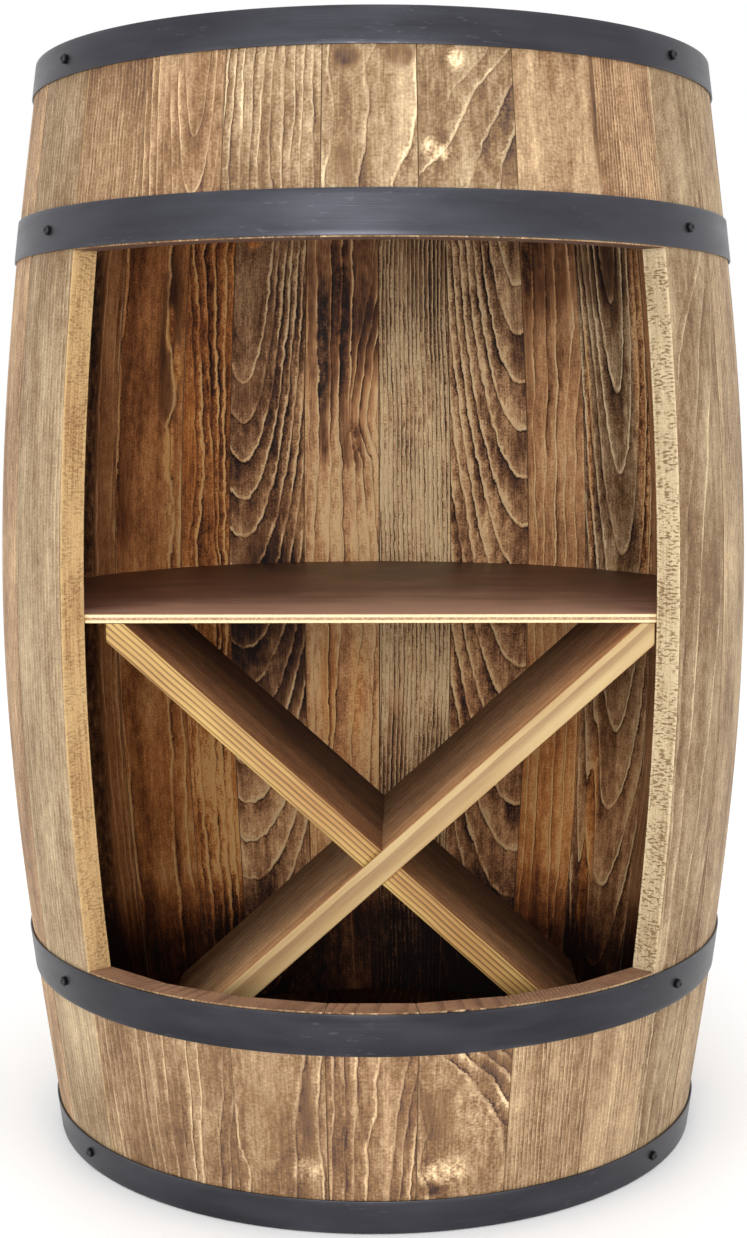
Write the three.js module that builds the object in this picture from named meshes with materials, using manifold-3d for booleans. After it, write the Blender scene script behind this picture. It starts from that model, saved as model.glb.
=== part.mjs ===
// Barrel bar cabinet: an upright cask of bowed staves, bound by four steel hoops and closed by two heads.
// A wide opening is cut in its front, over a skirt of short staves and under a band of short staves.
// Inside, a plywood shelf rests on two crossed boards that make four V-shaped bottle bays.
// Millimetres, +Z up, origin on the floor at the middle of the base, opening towards -Y.
import * as THREE from "three";
import { mergeVertices } from "three/addons/utils/BufferGeometryUtils.js";
import Module from "manifold-3d";

const wasm = await Module();
wasm.setup();

// The cask's outline: widest a little above the middle, and easing straighter towards its ends
const caskHeight = 800;
const bellyRadius = 283.3;
const bellyRise = 7;
const bowDepth = 45.18;
const bowEase = 9.28;
const bowSteps = 14;

// Staves: round outside, flat inside, meeting in radial seams
const staveThickness = 19;
const seamGap = 0.3;
const chimeBevel = 3;
const staveFacets = 4;

// Front opening, and the staves' widths: round the wall from its right edge, and across the front
const openingAngle = 95.2;
const skirtHeight = 160;
const lintelBand = 143.5;
const wallStaveShares = [
  13.6, 14.5, 14.2, 13.4, 14.5, 18.0, 13.1, 16.3, 14.4,
  15.1, 15.6, 10.7, 16.7, 15.4, 14.2, 15.3, 14.6, 15.2,
];
const frontStaveShares = [13.4, 13.6, 14.3, 13.4, 14.1, 13.9, 12.5];

// Hoops: flat steel strap, set conically to the staves' slope and lapped and riveted at the back
const hoopThickness = 1.5;
const hoopGap = 0.4;
const hoopSegments = 72;
const chimeHoopWidth = 24;
const chimeHoopInset = 0.5;
const bulgeHoopWidth = 29.5;
const bulgeHoopSetback = 0.9;
const lapLength = 42;
const lapSteps = 4;
const lapBite = 0.5;
const rivetRadius = 4.5;
const rivetHeight = 2;
const rivetSpacing = 20;
const rivetSegments = 12;
const rivetRings = 6;

// Screws through the hoops into the staves beside the opening
const screwHeadRadius = 3.4;
const screwHeadHeight = 2.4;
const screwRimHeight = 1.2;
const screwCrownRadius = 2.4;
const screwShankRadius = 1.75;
const screwLength = 14;
const screwPointLength = 3;
const screwSegments = 12;
const screwClearance = 0.3;

// Heads: five boards each, bevelled on both sides round the rim to seat in a V croze groove
const headThickness = 14;
const headTipThickness = 3;
const headBevelShare = 0.5;
const headBoardCount = 5;
const headSegments = 60;
const topHeadRecess = 12;
const bottomHeadRise = 3.5;
const crozeDepth = 4;

// Shelf: three-ply board whose edge follows the staves' flat inner faces
const shelfThickness = 6;
const shelfHeight = 405;

// Crossed boards: halved into each other where they meet, under the shelf
const crossThickness = 17.5;
const crossDepth = 186;
const crossAngle = 42;
const crossDrop = 171.4;
const crossShift = 8;
const crossTopReveal = 14;

const fitGap = 0.3;
const overrun = 2;

const fullTurn = 2 * Math.PI;
const radians = THREE.MathUtils.degToRad;
const openingHalf = radians(openingAngle) / 2;
const lintelHeight = caskHeight - lintelBand;
const topHeadHeight = caskHeight - topHeadRecess - headThickness / 2;
const bottomHeadHeight = bottomHeadRise + headThickness / 2;

const stavePine = new THREE.MeshStandardMaterial({ color: 0xa5825f, roughness: 0.75, metalness: 0 });
const headPine = new THREE.MeshStandardMaterial({ color: 0x8a6748, roughness: 0.75, metalness: 0 });
const crossPine = new THREE.MeshStandardMaterial({ color: 0xb98a52, roughness: 0.65, metalness: 0 });
const shelfPly = new THREE.MeshStandardMaterial({ color: 0x5c3423, roughness: 0.55, metalness: 0 });
const hoopSteel = new THREE.MeshStandardMaterial({ color: 0x4b5158, roughness: 0.5, metalness: 0.8 });
const screwBlack = new THREE.MeshStandardMaterial({ color: 0x141414, roughness: 0.45, metalness: 0.6 });

// Solids for joining and cutting

function solidOf(geometry) {
  const bare = new THREE.BufferGeometry();
  bare.setAttribute("position", geometry.getAttribute("position"));
  bare.setIndex(geometry.getIndex());
  const merged = mergeVertices(bare);
  const vertProperties = merged.getAttribute("position").array;
  const triVerts = new Uint32Array(merged.getIndex().array);
  return new wasm.Manifold(new wasm.Mesh({ numProp: 3, vertProperties, triVerts }));
}

function geometryOf(solid) {
  const { numProp, vertProperties, triVerts } = solid.getMesh();
  const corners = new Float32Array(triVerts.length * 3);
  triVerts.forEach((vertex, i) => {
    corners.set(vertProperties.subarray(vertex * numProp, vertex * numProp + 3), i * 3);
  });
  const geometry = new THREE.BufferGeometry();
  geometry.setAttribute("position", new THREE.BufferAttribute(corners, 3));
  geometry.computeVertexNormals();
  return geometry;
}

function named(name, solid, material) {
  const mesh = new THREE.Mesh(geometryOf(solid), material);
  mesh.name = name;
  return mesh;
}

// A closed solid through sections of equally many points, each anticlockwise seen from the last one's side
function loft(sections) {
  const count = sections[0].length;
  const last = (sections.length - 1) * count;
  const index = [];
  for (let start = 0; start < last; start += count) {
    for (let i = 0; i < count; i++) {
      const next = (i + 1) % count;
      index.push(start + i, start + next, start + count + next);
      index.push(start + i, start + count + next, start + count + i);
    }
  }
  for (let i = 1; i + 1 < count; i++) {
    index.push(0, i + 1, i);
    index.push(last, last + i, last + i + 1);
  }
  const geometry = new THREE.BufferGeometry();
  const places = sections.flat().flatMap((point) => point.toArray());
  geometry.setAttribute("position", new THREE.Float32BufferAttribute(places, 3));
  geometry.setIndex(index);
  return solidOf(geometry);
}

// A profile of [radius, height] pairs, listed upwards on its outside, turned about the Z axis
function turned(profile, segments) {
  const points = profile.map(([radius, height]) => new THREE.Vector2(radius, height));
  return solidOf(new THREE.LatheGeometry(points, segments).rotateX(Math.PI / 2));
}

// A flat outline of [x, y] pairs, raised by a depth along +Z
function raised(outline, depth) {
  const shape = new THREE.Shape(outline.map(([x, y]) => new THREE.Vector2(x, y)));
  return new THREE.ExtrudeGeometry(shape, { depth, bevelEnabled: false });
}

// Places round the cask: angles run anticlockwise seen from above, from the middle of the front

function around(radius, angle, height) {
  return new THREE.Vector3(radius * Math.sin(angle), -radius * Math.cos(angle), height);
}

function bow(height) {
  const reach = (height - caskHeight / 2 - bellyRise) / (caskHeight / 2);
  return bellyRadius - bowDepth * reach ** 2 + bowEase * reach ** 4;
}

// The staves' outer radius, along the straight runs that stand for the bow
function staveRadius(height) {
  const run = caskHeight / bowSteps;
  const below = Math.min(Math.floor(height / run), bowSteps - 1) * run;
  return THREE.MathUtils.lerp(bow(below), bow(below + run), (height - below) / run);
}

function innerRadius(height) {
  return staveRadius(height) - staveThickness;
}

function seamsFrom(start, span, shares) {
  const total = shares.reduce((sum, share) => sum + share);
  const seams = [start];
  for (const share of shares) {
    seams.push(seams.at(-1) + (span * share) / total);
  }
  return seams;
}

const frontSeams = seamsFrom(-openingHalf, 2 * openingHalf, frontStaveShares);
const wallSeams = seamsFrom(openingHalf, fullTurn - 2 * openingHalf, wallStaveShares);
const widestHalf = Math.max(...wallSeams.slice(1).map((seam, i) => seam - wallSeams[i])) / 2;

// How far the flat inner faces lie from the YZ plane, on one side, at a depth and a height
function wallReach(side, depth, height) {
  const seams = [...wallSeams, ...frontSeams.slice(1).map((seam) => seam + fullTurn)];
  const corners = seams.map((seam) => around(innerRadius(height), seam, height));
  for (let i = 1; i < corners.length; i++) {
    const [a, b] = [corners[i - 1], corners[i]];
    const share = (depth - a.y) / (b.y - a.y);
    const x = THREE.MathUtils.lerp(a.x, b.x, share);
    if (share >= 0 && share <= 1 && x * side > 0) return Math.abs(x);
  }
}

// Staves

function staveSection(width, height, bevel) {
  const outer = staveRadius(height);
  const inner = innerRadius(height) + bevel;
  const outerHalf = width / 2 - Math.asin(seamGap / 2 / outer);
  const innerHalf = width / 2 - Math.asin(seamGap / 2 / inner);
  const section = [];
  for (let i = 0; i <= staveFacets; i++) {
    section.push(around(outer, outerHalf * ((2 * i) / staveFacets - 1), height));
  }
  section.push(around(inner, innerHalf, height), around(inner, -innerHalf, height));
  return section;
}

function croze(height) {
  const floor = innerRadius(height) + crozeDepth;
  const mouth = innerRadius(height) * Math.cos(widestHalf) - overrun;
  const floorHalf = headTipThickness / 2 + fitGap;
  const mouthHalf = floorHalf + headBevelShare * (floor - mouth);
  const profile = [
    [mouth, height - mouthHalf],
    [floor, height - floorHalf],
    [floor, height + floorHalf],
    [mouth, height + mouthHalf],
    [mouth, height - mouthHalf],
  ];
  return turned(profile, headSegments);
}

const topCroze = croze(topHeadHeight);
const bottomCroze = croze(bottomHeadHeight);

// A stave from one height to another, with its chime bevelled and grooved where it reaches an end of the cask
function staveSolid(width, low, high) {
  const lowBevel = low === 0 ? chimeBevel : 0;
  const highBevel = high === caskHeight ? chimeBevel : 0;
  const inside = [];
  for (let step = 1; step < bowSteps; step++) {
    const height = (caskHeight * step) / bowSteps;
    if (height > low + lowBevel && height < high - highBevel) inside.push([height, 0]);
  }
  if (lowBevel) inside.unshift([low + lowBevel, 0]);
  if (highBevel) inside.push([high - highBevel, 0]);
  const stations = [[low, lowBevel], ...inside, [high, highBevel]];
  let stave = loft(stations.map(([height, bevel]) => staveSection(width, height, bevel)));
  if (lowBevel) stave = stave.subtract(bottomCroze);
  if (highBevel) stave = stave.subtract(topCroze);
  return stave;
}

function placedStave(name, seams, i, low, high, cuts = []) {
  const width = seams[i + 1] - seams[i];
  const solid = cuts.reduce((stave, cut) => stave.subtract(cut), staveSolid(width, low, high));
  const mesh = named(name, solid, stavePine);
  mesh.rotation.z = (seams[i] + seams[i + 1]) / 2;
  return mesh;
}

// Hoops

const hoops = [
  ["hoop_base", chimeHoopInset, chimeHoopWidth],
  ["hoop_lower", skirtHeight - bulgeHoopSetback - bulgeHoopWidth, bulgeHoopWidth],
  ["hoop_upper", lintelHeight + bulgeHoopSetback, bulgeHoopWidth],
  ["hoop_top", caskHeight - chimeHoopInset - chimeHoopWidth, chimeHoopWidth],
].map(([name, low, width]) => ({ name, low, high: low + width, middle: low + width / 2 }));

function hoopRadius(hoop, height) {
  const share = (height - hoop.low) / (hoop.high - hoop.low);
  return THREE.MathUtils.lerp(staveRadius(hoop.low), staveRadius(hoop.high), share) + hoopGap;
}

// A place on a hoop's outer face, with a turn that sets local +Y square to it
function onHoop(hoop, angle) {
  const rise = hoopRadius(hoop, hoop.high) - hoopRadius(hoop, hoop.low);
  const tilt = Math.atan2(-rise, hoop.high - hoop.low);
  const outwards = around(Math.cos(tilt), angle, Math.sin(tilt));
  const place = around(hoopRadius(hoop, hoop.middle) + hoopThickness, angle, hoop.middle);
  const turn = new THREE.Quaternion().setFromUnitVectors(new THREE.Vector3(0, 1, 0), outwards);
  return new THREE.Matrix4().compose(place, turn, new THREE.Vector3(1, 1, 1));
}

// The strap's end laid over its start, and the two rivets that hold the lap
function lapSolid(hoop) {
  const half = lapLength / 2 / hoopRadius(hoop, hoop.middle);
  const start = Math.PI - half;
  const sections = [];
  for (let step = 0; step <= lapSteps; step++) {
    const angle = start + (2 * half * step) / lapSteps;
    const corner = (height, out) => around(hoopRadius(hoop, height) + hoopThickness + out, angle, height);
    sections.push([
      corner(hoop.low, -lapBite),
      corner(hoop.high, -lapBite),
      corner(hoop.high, hoopThickness),
      corner(hoop.low, hoopThickness),
    ]);
  }
  let lap = loft(sections);
  for (const side of [-1, 1]) {
    const angle = Math.PI + (side * rivetSpacing) / 2 / hoopRadius(hoop, hoop.middle);
    const dome = new THREE.SphereGeometry(1, rivetSegments, rivetRings);
    dome.scale(rivetRadius, rivetHeight, rivetRadius);
    dome.translate(0, hoopThickness, 0);
    lap = lap.add(solidOf(dome.applyMatrix4(onHoop(hoop, angle))));
  }
  return lap;
}

function screwHole(matrix) {
  const depth = screwLength + hoopThickness + screwClearance;
  const radius = screwShankRadius + screwClearance;
  const drill = new THREE.CylinderGeometry(radius, radius, depth + overrun, screwSegments);
  drill.translate(0, (overrun - depth) / 2, 0);
  return solidOf(drill.applyMatrix4(matrix));
}

function hoopSolid(hoop, screwAngles) {
  const spread = 1 / Math.cos(Math.PI / hoopSegments);
  const inner = (height) => hoopRadius(hoop, height) * spread;
  const profile = [
    [inner(hoop.low), hoop.low],
    [inner(hoop.low) + hoopThickness, hoop.low],
    [inner(hoop.high) + hoopThickness, hoop.high],
    [inner(hoop.high), hoop.high],
    [inner(hoop.low), hoop.low],
  ];
  let band = turned(profile, hoopSegments).add(lapSolid(hoop));
  for (const angle of screwAngles) {
    band = band.subtract(screwHole(onHoop(hoop, angle)));
  }
  return band;
}

// Screws

function screwSolid() {
  const shankEnd = screwClearance - screwLength;
  const profile = [
    [0, shankEnd],
    [screwShankRadius, shankEnd + screwPointLength],
    [screwShankRadius, 0],
    [screwHeadRadius, 0],
    [screwHeadRadius, screwRimHeight],
    [screwCrownRadius, screwHeadHeight],
    [0, screwHeadHeight],
  ].map(([radius, height]) => new THREE.Vector2(radius, height));
  return solidOf(new THREE.LatheGeometry(profile, screwSegments));
}

function placedScrew(name, matrix) {
  const mesh = named(name, screwSolid(), screwBlack);
  mesh.applyMatrix4(matrix);
  mesh.translateY(screwClearance);
  return mesh;
}

// Heads

function headSolid(height) {
  const rim = (innerRadius(height) + crozeDepth) * Math.cos(Math.PI / headSegments) - fitGap;
  const shoulder = rim - (headThickness - headTipThickness) / 2 / headBevelShare;
  const profile = [
    [0, -headThickness / 2],
    [shoulder, -headThickness / 2],
    [rim, -headTipThickness / 2],
    [rim, headTipThickness / 2],
    [shoulder, headThickness / 2],
    [0, headThickness / 2],
  ];
  return { rim, solid: turned(profile, headSegments) };
}

function headGroup(prefix, height) {
  const { rim, solid } = headSolid(height);
  const pitch = (2 * rim) / headBoardCount;
  const group = new THREE.Group();
  group.position.z = height;
  for (let i = 0; i < headBoardCount; i++) {
    const plank = new THREE.BoxGeometry(pitch - seamGap, 2 * (rim + overrun), headThickness + overrun);
    plank.translate((i + 1 / 2) * pitch - rim, 0, 0);
    group.add(named(`${prefix}_head_board_${i + 1}`, solid.intersect(solidOf(plank)), headPine));
  }
  return group;
}

// Shelf

const shelfTop = shelfHeight + shelfThickness;
const shelfRadius = Math.min(innerRadius(shelfHeight), innerRadius(shelfTop)) - fitGap;
const frontDepth = -shelfRadius * Math.cos(openingHalf);

function shelfMesh() {
  const outline = wallSeams.map((seam) => around(shelfRadius, seam, 0)).map(({ x, y }) => [x, y]);
  const mesh = named("shelf", solidOf(raised(outline, shelfThickness)), shelfPly);
  mesh.position.z = shelfHeight;
  return mesh;
}

// Crossed boards: the front one rises to the right and the rear one to the left

const crossSlope = Math.tan(radians(crossAngle));
const crossTop = shelfHeight - fitGap;
const crossHeight = shelfHeight - crossDrop;
const edgeRise = crossThickness / 2 / Math.cos(radians(crossAngle));

function faceHeight(side, x, rise) {
  return crossHeight + side * crossSlope * (x - crossShift) + rise;
}

// The reach towards one side at which the underside's front corner just clears the wall
function footReach(side) {
  let [near, far] = [0, bellyRadius];
  while (far - near > fitGap / 10) {
    const middle = (near + far) / 2;
    const height = Math.max(faceHeight(-side, side * middle, -edgeRise), 0);
    if (wallReach(side, frontDepth, height) - fitGap > middle) near = middle;
    else far = middle;
  }
  return near;
}

function prism(outline, front, depth) {
  return solidOf(raised(outline, depth).rotateX(Math.PI / 2).translate(0, front + depth, 0));
}

// The strip between two faces as far above and below a board's middle, across the whole cask
function crossStrip(side, rise, front, depth) {
  const outline = [
    [-bellyRadius, faceHeight(side, -bellyRadius, -rise)],
    [bellyRadius, faceHeight(side, bellyRadius, -rise)],
    [bellyRadius, faceHeight(side, bellyRadius, rise)],
    [-bellyRadius, faceHeight(side, -bellyRadius, rise)],
  ];
  return prism(outline, front, depth);
}

// The room over the bottom head and under the shelf, between a board's left and right ends
function crossRoom(left, right) {
  const low = bottomHeadHeight + headThickness / 2 + fitGap;
  const room = new THREE.BoxGeometry(right - left, crossDepth + 2 * overrun, crossTop - low);
  room.translate((left + right) / 2, frontDepth + crossDepth / 2, (low + crossTop) / 2);
  return solidOf(room);
}

// The reach at which a board's upper end just clears the wall
function headReach() {
  const corner = faceHeight(1, shelfRadius * Math.sin(openingHalf), -edgeRise);
  const reaches = [Math.min(corner, crossTop), crossTop].map((height) => wallReach(1, frontDepth, height));
  return Math.min(...reaches) - 2 * fitGap;
}

function crossBoard(name, side, room, slotFront) {
  const slotRise = edgeRise + fitGap / Math.cos(radians(crossAngle));
  const slot = crossStrip(-side, slotRise, slotFront, (crossDepth + fitGap) / 2 + overrun);
  const board = crossStrip(side, edgeRise, frontDepth, crossDepth).intersect(room).subtract(slot);
  return named(name, board, crossPine);
}

function crossGroup() {
  const frontRoom = crossRoom(-footReach(-1), headReach());
  const rearRoom = crossRoom(crossTopReveal - headReach() - 2 * fitGap, footReach(1));
  const group = new THREE.Group();
  group.add(
    crossBoard("cross_board_front", 1, frontRoom, frontDepth + (crossDepth - fitGap) / 2),
    crossBoard("cross_board_rear", -1, rearRoom, frontDepth - overrun),
  );
  return group;
}

// The whole cabinet

function caskGroup() {
  const group = new THREE.Group();
  const count = wallSeams.length - 1;
  const screwed = { left: count - 1, right: 0 };
  const middleOf = (i) => (wallSeams[i] + wallSeams[i + 1]) / 2;
  const holes = hoops.map((hoop) => screwHole(onHoop(hoop, 0)));
  for (let i = 0; i < count; i++) {
    const cuts = Object.values(screwed).includes(i) ? holes : [];
    const name = `wall_stave_${String(i + 1).padStart(2, "0")}`;
    group.add(placedStave(name, wallSeams, i, 0, caskHeight, cuts));
  }
  frontStaveShares.forEach((_, i) => {
    group.add(placedStave(`skirt_stave_${i + 1}`, frontSeams, i, 0, skirtHeight));
    group.add(placedStave(`lintel_stave_${i + 1}`, frontSeams, i, lintelHeight, caskHeight));
  });
  for (const hoop of hoops) {
    const angles = Object.values(screwed).map(middleOf);
    group.add(named(hoop.name, hoopSolid(hoop, angles), hoopSteel));
    for (const [side, i] of Object.entries(screwed)) {
      group.add(placedScrew(`${hoop.name}_screw_${side}`, onHoop(hoop, middleOf(i))));
    }
  }
  return group;
}

const cabinet = new THREE.Group();
cabinet.name = "barrel_bar_cabinet";
cabinet.add(
  caskGroup(),
  headGroup("top", topHeadHeight),
  headGroup("bottom", bottomHeadHeight),
  shelfMesh(),
  crossGroup(),
);

export default cabinet;
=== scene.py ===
"""Barrel bar cabinet: the finished look of a cask with a wide front opening, its hoops, shelf and
crossed boards.

Positions are in metres, in the frame of the CAD model: +Z up, the opening towards -Y, the origin on the
floor. Grain is worked out in millimetres. Angles round the cask run anticlockwise seen from above, from
the front."""

import math
from collections import namedtuple

import bpy
import numpy as np
from mathutils import Matrix, Vector


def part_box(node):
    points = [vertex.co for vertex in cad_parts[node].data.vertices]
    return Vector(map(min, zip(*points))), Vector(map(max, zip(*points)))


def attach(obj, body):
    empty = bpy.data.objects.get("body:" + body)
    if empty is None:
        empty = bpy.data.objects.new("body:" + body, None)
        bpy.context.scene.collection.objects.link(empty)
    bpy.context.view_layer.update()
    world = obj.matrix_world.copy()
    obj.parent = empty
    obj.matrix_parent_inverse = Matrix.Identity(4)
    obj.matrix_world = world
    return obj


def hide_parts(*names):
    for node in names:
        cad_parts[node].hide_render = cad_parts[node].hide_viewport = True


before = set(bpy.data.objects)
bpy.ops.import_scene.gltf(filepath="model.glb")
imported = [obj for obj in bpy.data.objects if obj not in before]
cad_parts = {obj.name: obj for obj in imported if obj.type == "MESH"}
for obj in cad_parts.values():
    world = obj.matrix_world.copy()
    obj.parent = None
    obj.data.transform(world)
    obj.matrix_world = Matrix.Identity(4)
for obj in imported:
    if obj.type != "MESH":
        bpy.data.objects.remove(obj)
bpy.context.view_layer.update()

bl_info = {
    "name": "Barrel bar cabinet",
    "version": (1, 0, 0),
    "blender": (4, 5, 0),
    "location": "3D View > Sidebar > Cabinet",
    "description": "Builds a barrel bar cabinet: staves, hoops, screws, heads, shelf and crossed boards",
    "category": "Add Mesh",
}

MM = 0.001
CORNER_EASE = 0.29  # share of an edge's rounding by which a section's corner point is drawn in
CLOSE_ROWS = np.array([0, 0.3, 1])  # rows over a rounded end, in shares of its rounding
OUTSIDE = 0.86  # share of the widest radius over which a stave's corner lies on its outside
CASK_ENDS = (0.001, 0.79)  # a stave that reaches past one of these heights has a chime there
CROZE_SLOPE = 0.5  # rise of the croze groove's sides over their depth
CROZE_REACH = 0.0065  # half the height that the groove can cover
CROZE_ROWS = np.arange(-6, 6.1, 1.2) * MM
STAVE_CELLS = (34, 8)  # across its width and through its thickness
STAVE_SAG = 0.12 * MM  # how far a stave's faces wander from their true form
STAVE_LIFT = (-0.1, 0.22)  # least and most, in mm, by which a stave stands out of the round
WALL_LEVELS = (230, 450, 640)  # heights in mm at which the wall's tones are given
FOOT_SHADE = (142, 60)  # height in mm under which the wall is darkened as painted shadow of the skirt, and the height of that change
END_SHADE = 700  # height in mm under which the band's ends lie in shade
STRAP_RUN = 9  # points up a strap's flat
STRAP_WEAR = 1.4 * MM  # width of the worn strip along a strap's edges
STRAP_SAG = 0.10 * MM  # how far a hoop wanders from a true circle
LAST_STEP = 0.0005  # length of the last step round a strap's section
LAP_CELLS, LAP_ROWS = (12, 4), 15
RIVET_SIDES = 28
RIVET_ROOT = 0.001  # how far a rivet goes into the strap
SCREW_SIDES = 64
SCREW_LIP = 0.0003  # rounding under a screw's head
SCREW_TIP = 0.003  # length of a screw's point
SLOT = 0.00042  # half width of a screw's cross recess
BOWL = 0.0019  # radius of the hollow round the recess
SLOT_DEPTH, BOWL_DEPTH = 0.0011, 0.0005
HEAD_CELLS, HEAD_ROWS = (22, 8), 121
HEAD_BEVEL = 0.5  # rise of a head's bevel over its width
SHELF_STEP, SHELF_RINGS, SHELF_EDGE = 0.004, 26, 0.0006
BOARD_STEP, BOARD_CELLS, HALVED_ROWS = 0.0035, (46, 10), 9
NUDGE = 0.00002  # how far a halved joint's first and last rows stand apart from their neighbours


# Reading the frame

def node_points(name):
    """The corners of a CAD node, as rows of x, y, z in metres."""
    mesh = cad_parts[name].data
    points = np.empty(len(mesh.vertices) * 3, np.float32)
    mesh.vertices.foreach_get("co", points)
    return points.reshape(-1, 3).astype(float)


def nodes_with(prefix):
    """The names of the CAD nodes that start with a prefix, in order."""
    return sorted(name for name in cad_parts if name.startswith(prefix))


def fit_bow():
    """The cask's outer radius as a quartic in height, fitted through the outermost corners of a full
    stave."""
    points = node_points("wall_stave_10")
    heights = np.round(points[:, 2], 5)
    radii = np.hypot(points[:, 0], points[:, 1])
    stations = np.unique(heights)
    widest = np.array([radii[heights == height].max() for height in stations])
    kept = widest > OUTSIDE * widest.max()
    return np.polyfit(stations[kept], widest[kept], 4)


BOW = fit_bow()


def bow(height):
    """The cask's outer radius at a height."""
    return np.polyval(BOW, height)


def span(name):
    """A node's middle angle and half angle round the cask, and its lowest and highest points."""
    points = node_points(name)
    middle = math.atan2(points[:, 0].mean(), -points[:, 1].mean())
    angles = np.arctan2(points[:, 0], -points[:, 1]) - middle
    angles = (angles + math.pi) % (2 * math.pi) - math.pi
    centre = middle + (angles.max() + angles.min()) / 2
    return centre, (angles.max() - angles.min()) / 2, points[:, 2].min(), points[:, 2].max()


def turned_about(points, angle):
    """Points given as across, up to the radius and height, carried to an angle round the cask."""
    across, reach, height = points
    x = reach * math.sin(angle) + across * math.cos(angle)
    y = across * math.sin(angle) - reach * math.cos(angle)
    return np.stack(np.broadcast_arrays(x, y, height), axis=-1)


# Surfaces

def ripples(seed, coordinates, waves=7):
    """A smooth wander between about -1 and 1: sine waves in seeded directions over scaled coordinates."""
    luck = np.random.default_rng(seed)
    total = 0
    for _ in range(waves):
        turns = luck.normal(0, 1, len(coordinates))
        start = luck.uniform(0, 2 * math.pi)
        total = total + np.sin(sum(t * c for t, c in zip(turns, coordinates)) + start)
    return total / math.sqrt(waves)


def knots(cells, edge, middle):
    """Steps from 0 to 1 with two short ones by each end, so that a rounded edge keeps to its own strip,
    and with one at the middle place that is asked for."""
    inside = np.linspace(1.6 * edge, 1 - 1.6 * edge, cells - 3)
    steps = np.concatenate([[0, edge], inside, [1 - edge, 1]])
    return np.unique(np.round(np.append(steps, middle), 9))


def signed_volume(points, faces):
    """Six times the volume inside a closed surface: positive where its faces point outwards."""
    total = 0
    for group in faces:
        for step in range(1, group.shape[1] - 1):
            a, b, c = points[group[:, 0]], points[group[:, step]], points[group[:, step + 1]]
            total += np.einsum("ij,ij->i", a, np.cross(b, c)).sum()
    return total


def piece(name, points, faces, corners, materials, values=None, kinds=None):
    """A finished object: corner points, faces as arrays of rows, a grain map per face corner, one
    number per point for each named value, and a finish per face, or the first for all. It stands for
    its CAD node."""
    if signed_volume(points, faces) < 0:
        faces = [group[:, ::-1] for group in faces]
        corners = [group[:, ::-1] for group in corners]
    mesh = bpy.data.meshes.new(name)
    mesh.vertices.add(len(points))
    mesh.vertices.foreach_set("co", points.astype(np.float32).ravel())
    sizes = np.concatenate([np.full(len(group), group.shape[1]) for group in faces])
    mesh.loops.add(int(sizes.sum()))
    indices = np.concatenate([group.ravel() for group in faces]).astype(np.int32)
    mesh.loops.foreach_set("vertex_index", indices)
    mesh.polygons.add(len(sizes))
    mesh.polygons.foreach_set("loop_start", (np.cumsum(sizes) - sizes).astype(np.int32))
    kinds = np.zeros(len(sizes)) if kinds is None else kinds
    mesh.polygons.foreach_set("material_index", kinds.astype(np.int32))
    mesh.polygons.foreach_set("use_smooth", np.ones(len(sizes), bool))
    places = np.concatenate([group.reshape(-1) for group in corners]).astype(np.float32)
    mesh.uv_layers.new(name="grain").data.foreach_set("uv", places)
    for key, numbers in (values or {}).items():
        attribute = mesh.attributes.new(key, "FLOAT", "POINT")
        attribute.data.foreach_set("value", np.asarray(numbers, np.float32).ravel())
    mesh.update(calc_edges=True)
    if mesh.validate():
        raise ValueError(f"{name} has faces that don't hold together")
    for material in materials:
        mesh.materials.append(material)
    made = bpy.data.objects.new(name, mesh)
    bpy.context.scene.collection.objects.link(made)
    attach(made, "root")
    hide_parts(name)
    return made


def quads_between(rows, columns, wrap_rows=False, wrap_columns=True):
    """Faces over a grid of points numbered row by row, closed round its columns, and round its rows if
    asked."""
    row = np.arange(rows if wrap_rows else rows - 1)[:, None]
    column = np.arange(columns if wrap_columns else columns - 1)[None, :]
    after_row, after_column = (row + 1) % rows, (column + 1) % columns
    near, far = row * columns, after_row * columns
    faces = [near + column, near + after_column, far + after_column, far + column]
    return np.stack(faces, -1).reshape(-1, 4)


def block(place, across, through, rows):
    """A closed solid whose sections are four-sided. place(a, b, row, corner) gives the points at a from
    -1 to 1 across, b from 0 to 1 through and a row number, and is told which ones are a section's
    corners. Walls run round the rim of each section, and the first and the last section are filled by
    the whole grid. Returns points, faces, the grid's a, b and row, each face's side, and how many
    points go round a section."""
    n, m = len(across) - 1, len(through) - 1
    i = np.concatenate([np.arange(n), np.full(m, n), np.arange(n, 0, -1), np.zeros(m, int)])
    j = np.concatenate([np.zeros(n, int), np.arange(m), np.full(n, m), np.arange(m, 0, -1)])
    count = len(i)
    wall_row = np.repeat(np.arange(rows), count)
    wall_a, wall_b = np.tile(across[i], rows), np.tile(through[j], rows)
    cap_i, cap_j = (grid.ravel() for grid in np.meshgrid(np.arange(1, n), np.arange(1, m), indexing="ij"))
    a = np.concatenate([wall_a, across[cap_i], across[cap_i]])
    b = np.concatenate([wall_b, through[cap_j], through[cap_j]])
    row = np.concatenate([wall_row, np.zeros(len(cap_i), int), np.full(len(cap_i), rows - 1)])
    walls = quads_between(rows, count)
    side = np.concatenate([np.zeros(n), np.ones(m), np.full(n, 2), np.full(m, 3)])
    sides = [np.tile(side, rows - 1)]
    faces = [walls]
    for end, first in ((0, rows * count), (rows - 1, rows * count + len(cap_i))):
        grid = np.zeros((n + 1, m + 1), int)
        grid[i, j] = end * count + np.arange(count)
        grid[cap_i, cap_j] = first + np.arange(len(cap_i))
        cap = np.stack([grid[:-1, :-1], grid[:-1, 1:], grid[1:, 1:], grid[1:, :-1]], -1).reshape(-1, 4)
        faces.append(cap if end == 0 else cap[:, ::-1])
        sides.append(np.full(len(cap), 4))
    corner = ((i == 0) | (i == n)) & ((j == 0) | (j == m))
    corners = np.zeros(len(a), bool)
    corners[: rows * count] = np.tile(corner, rows)
    return place(a, b, row, corners), faces, (a, b, row), np.concatenate(sides), count


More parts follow.
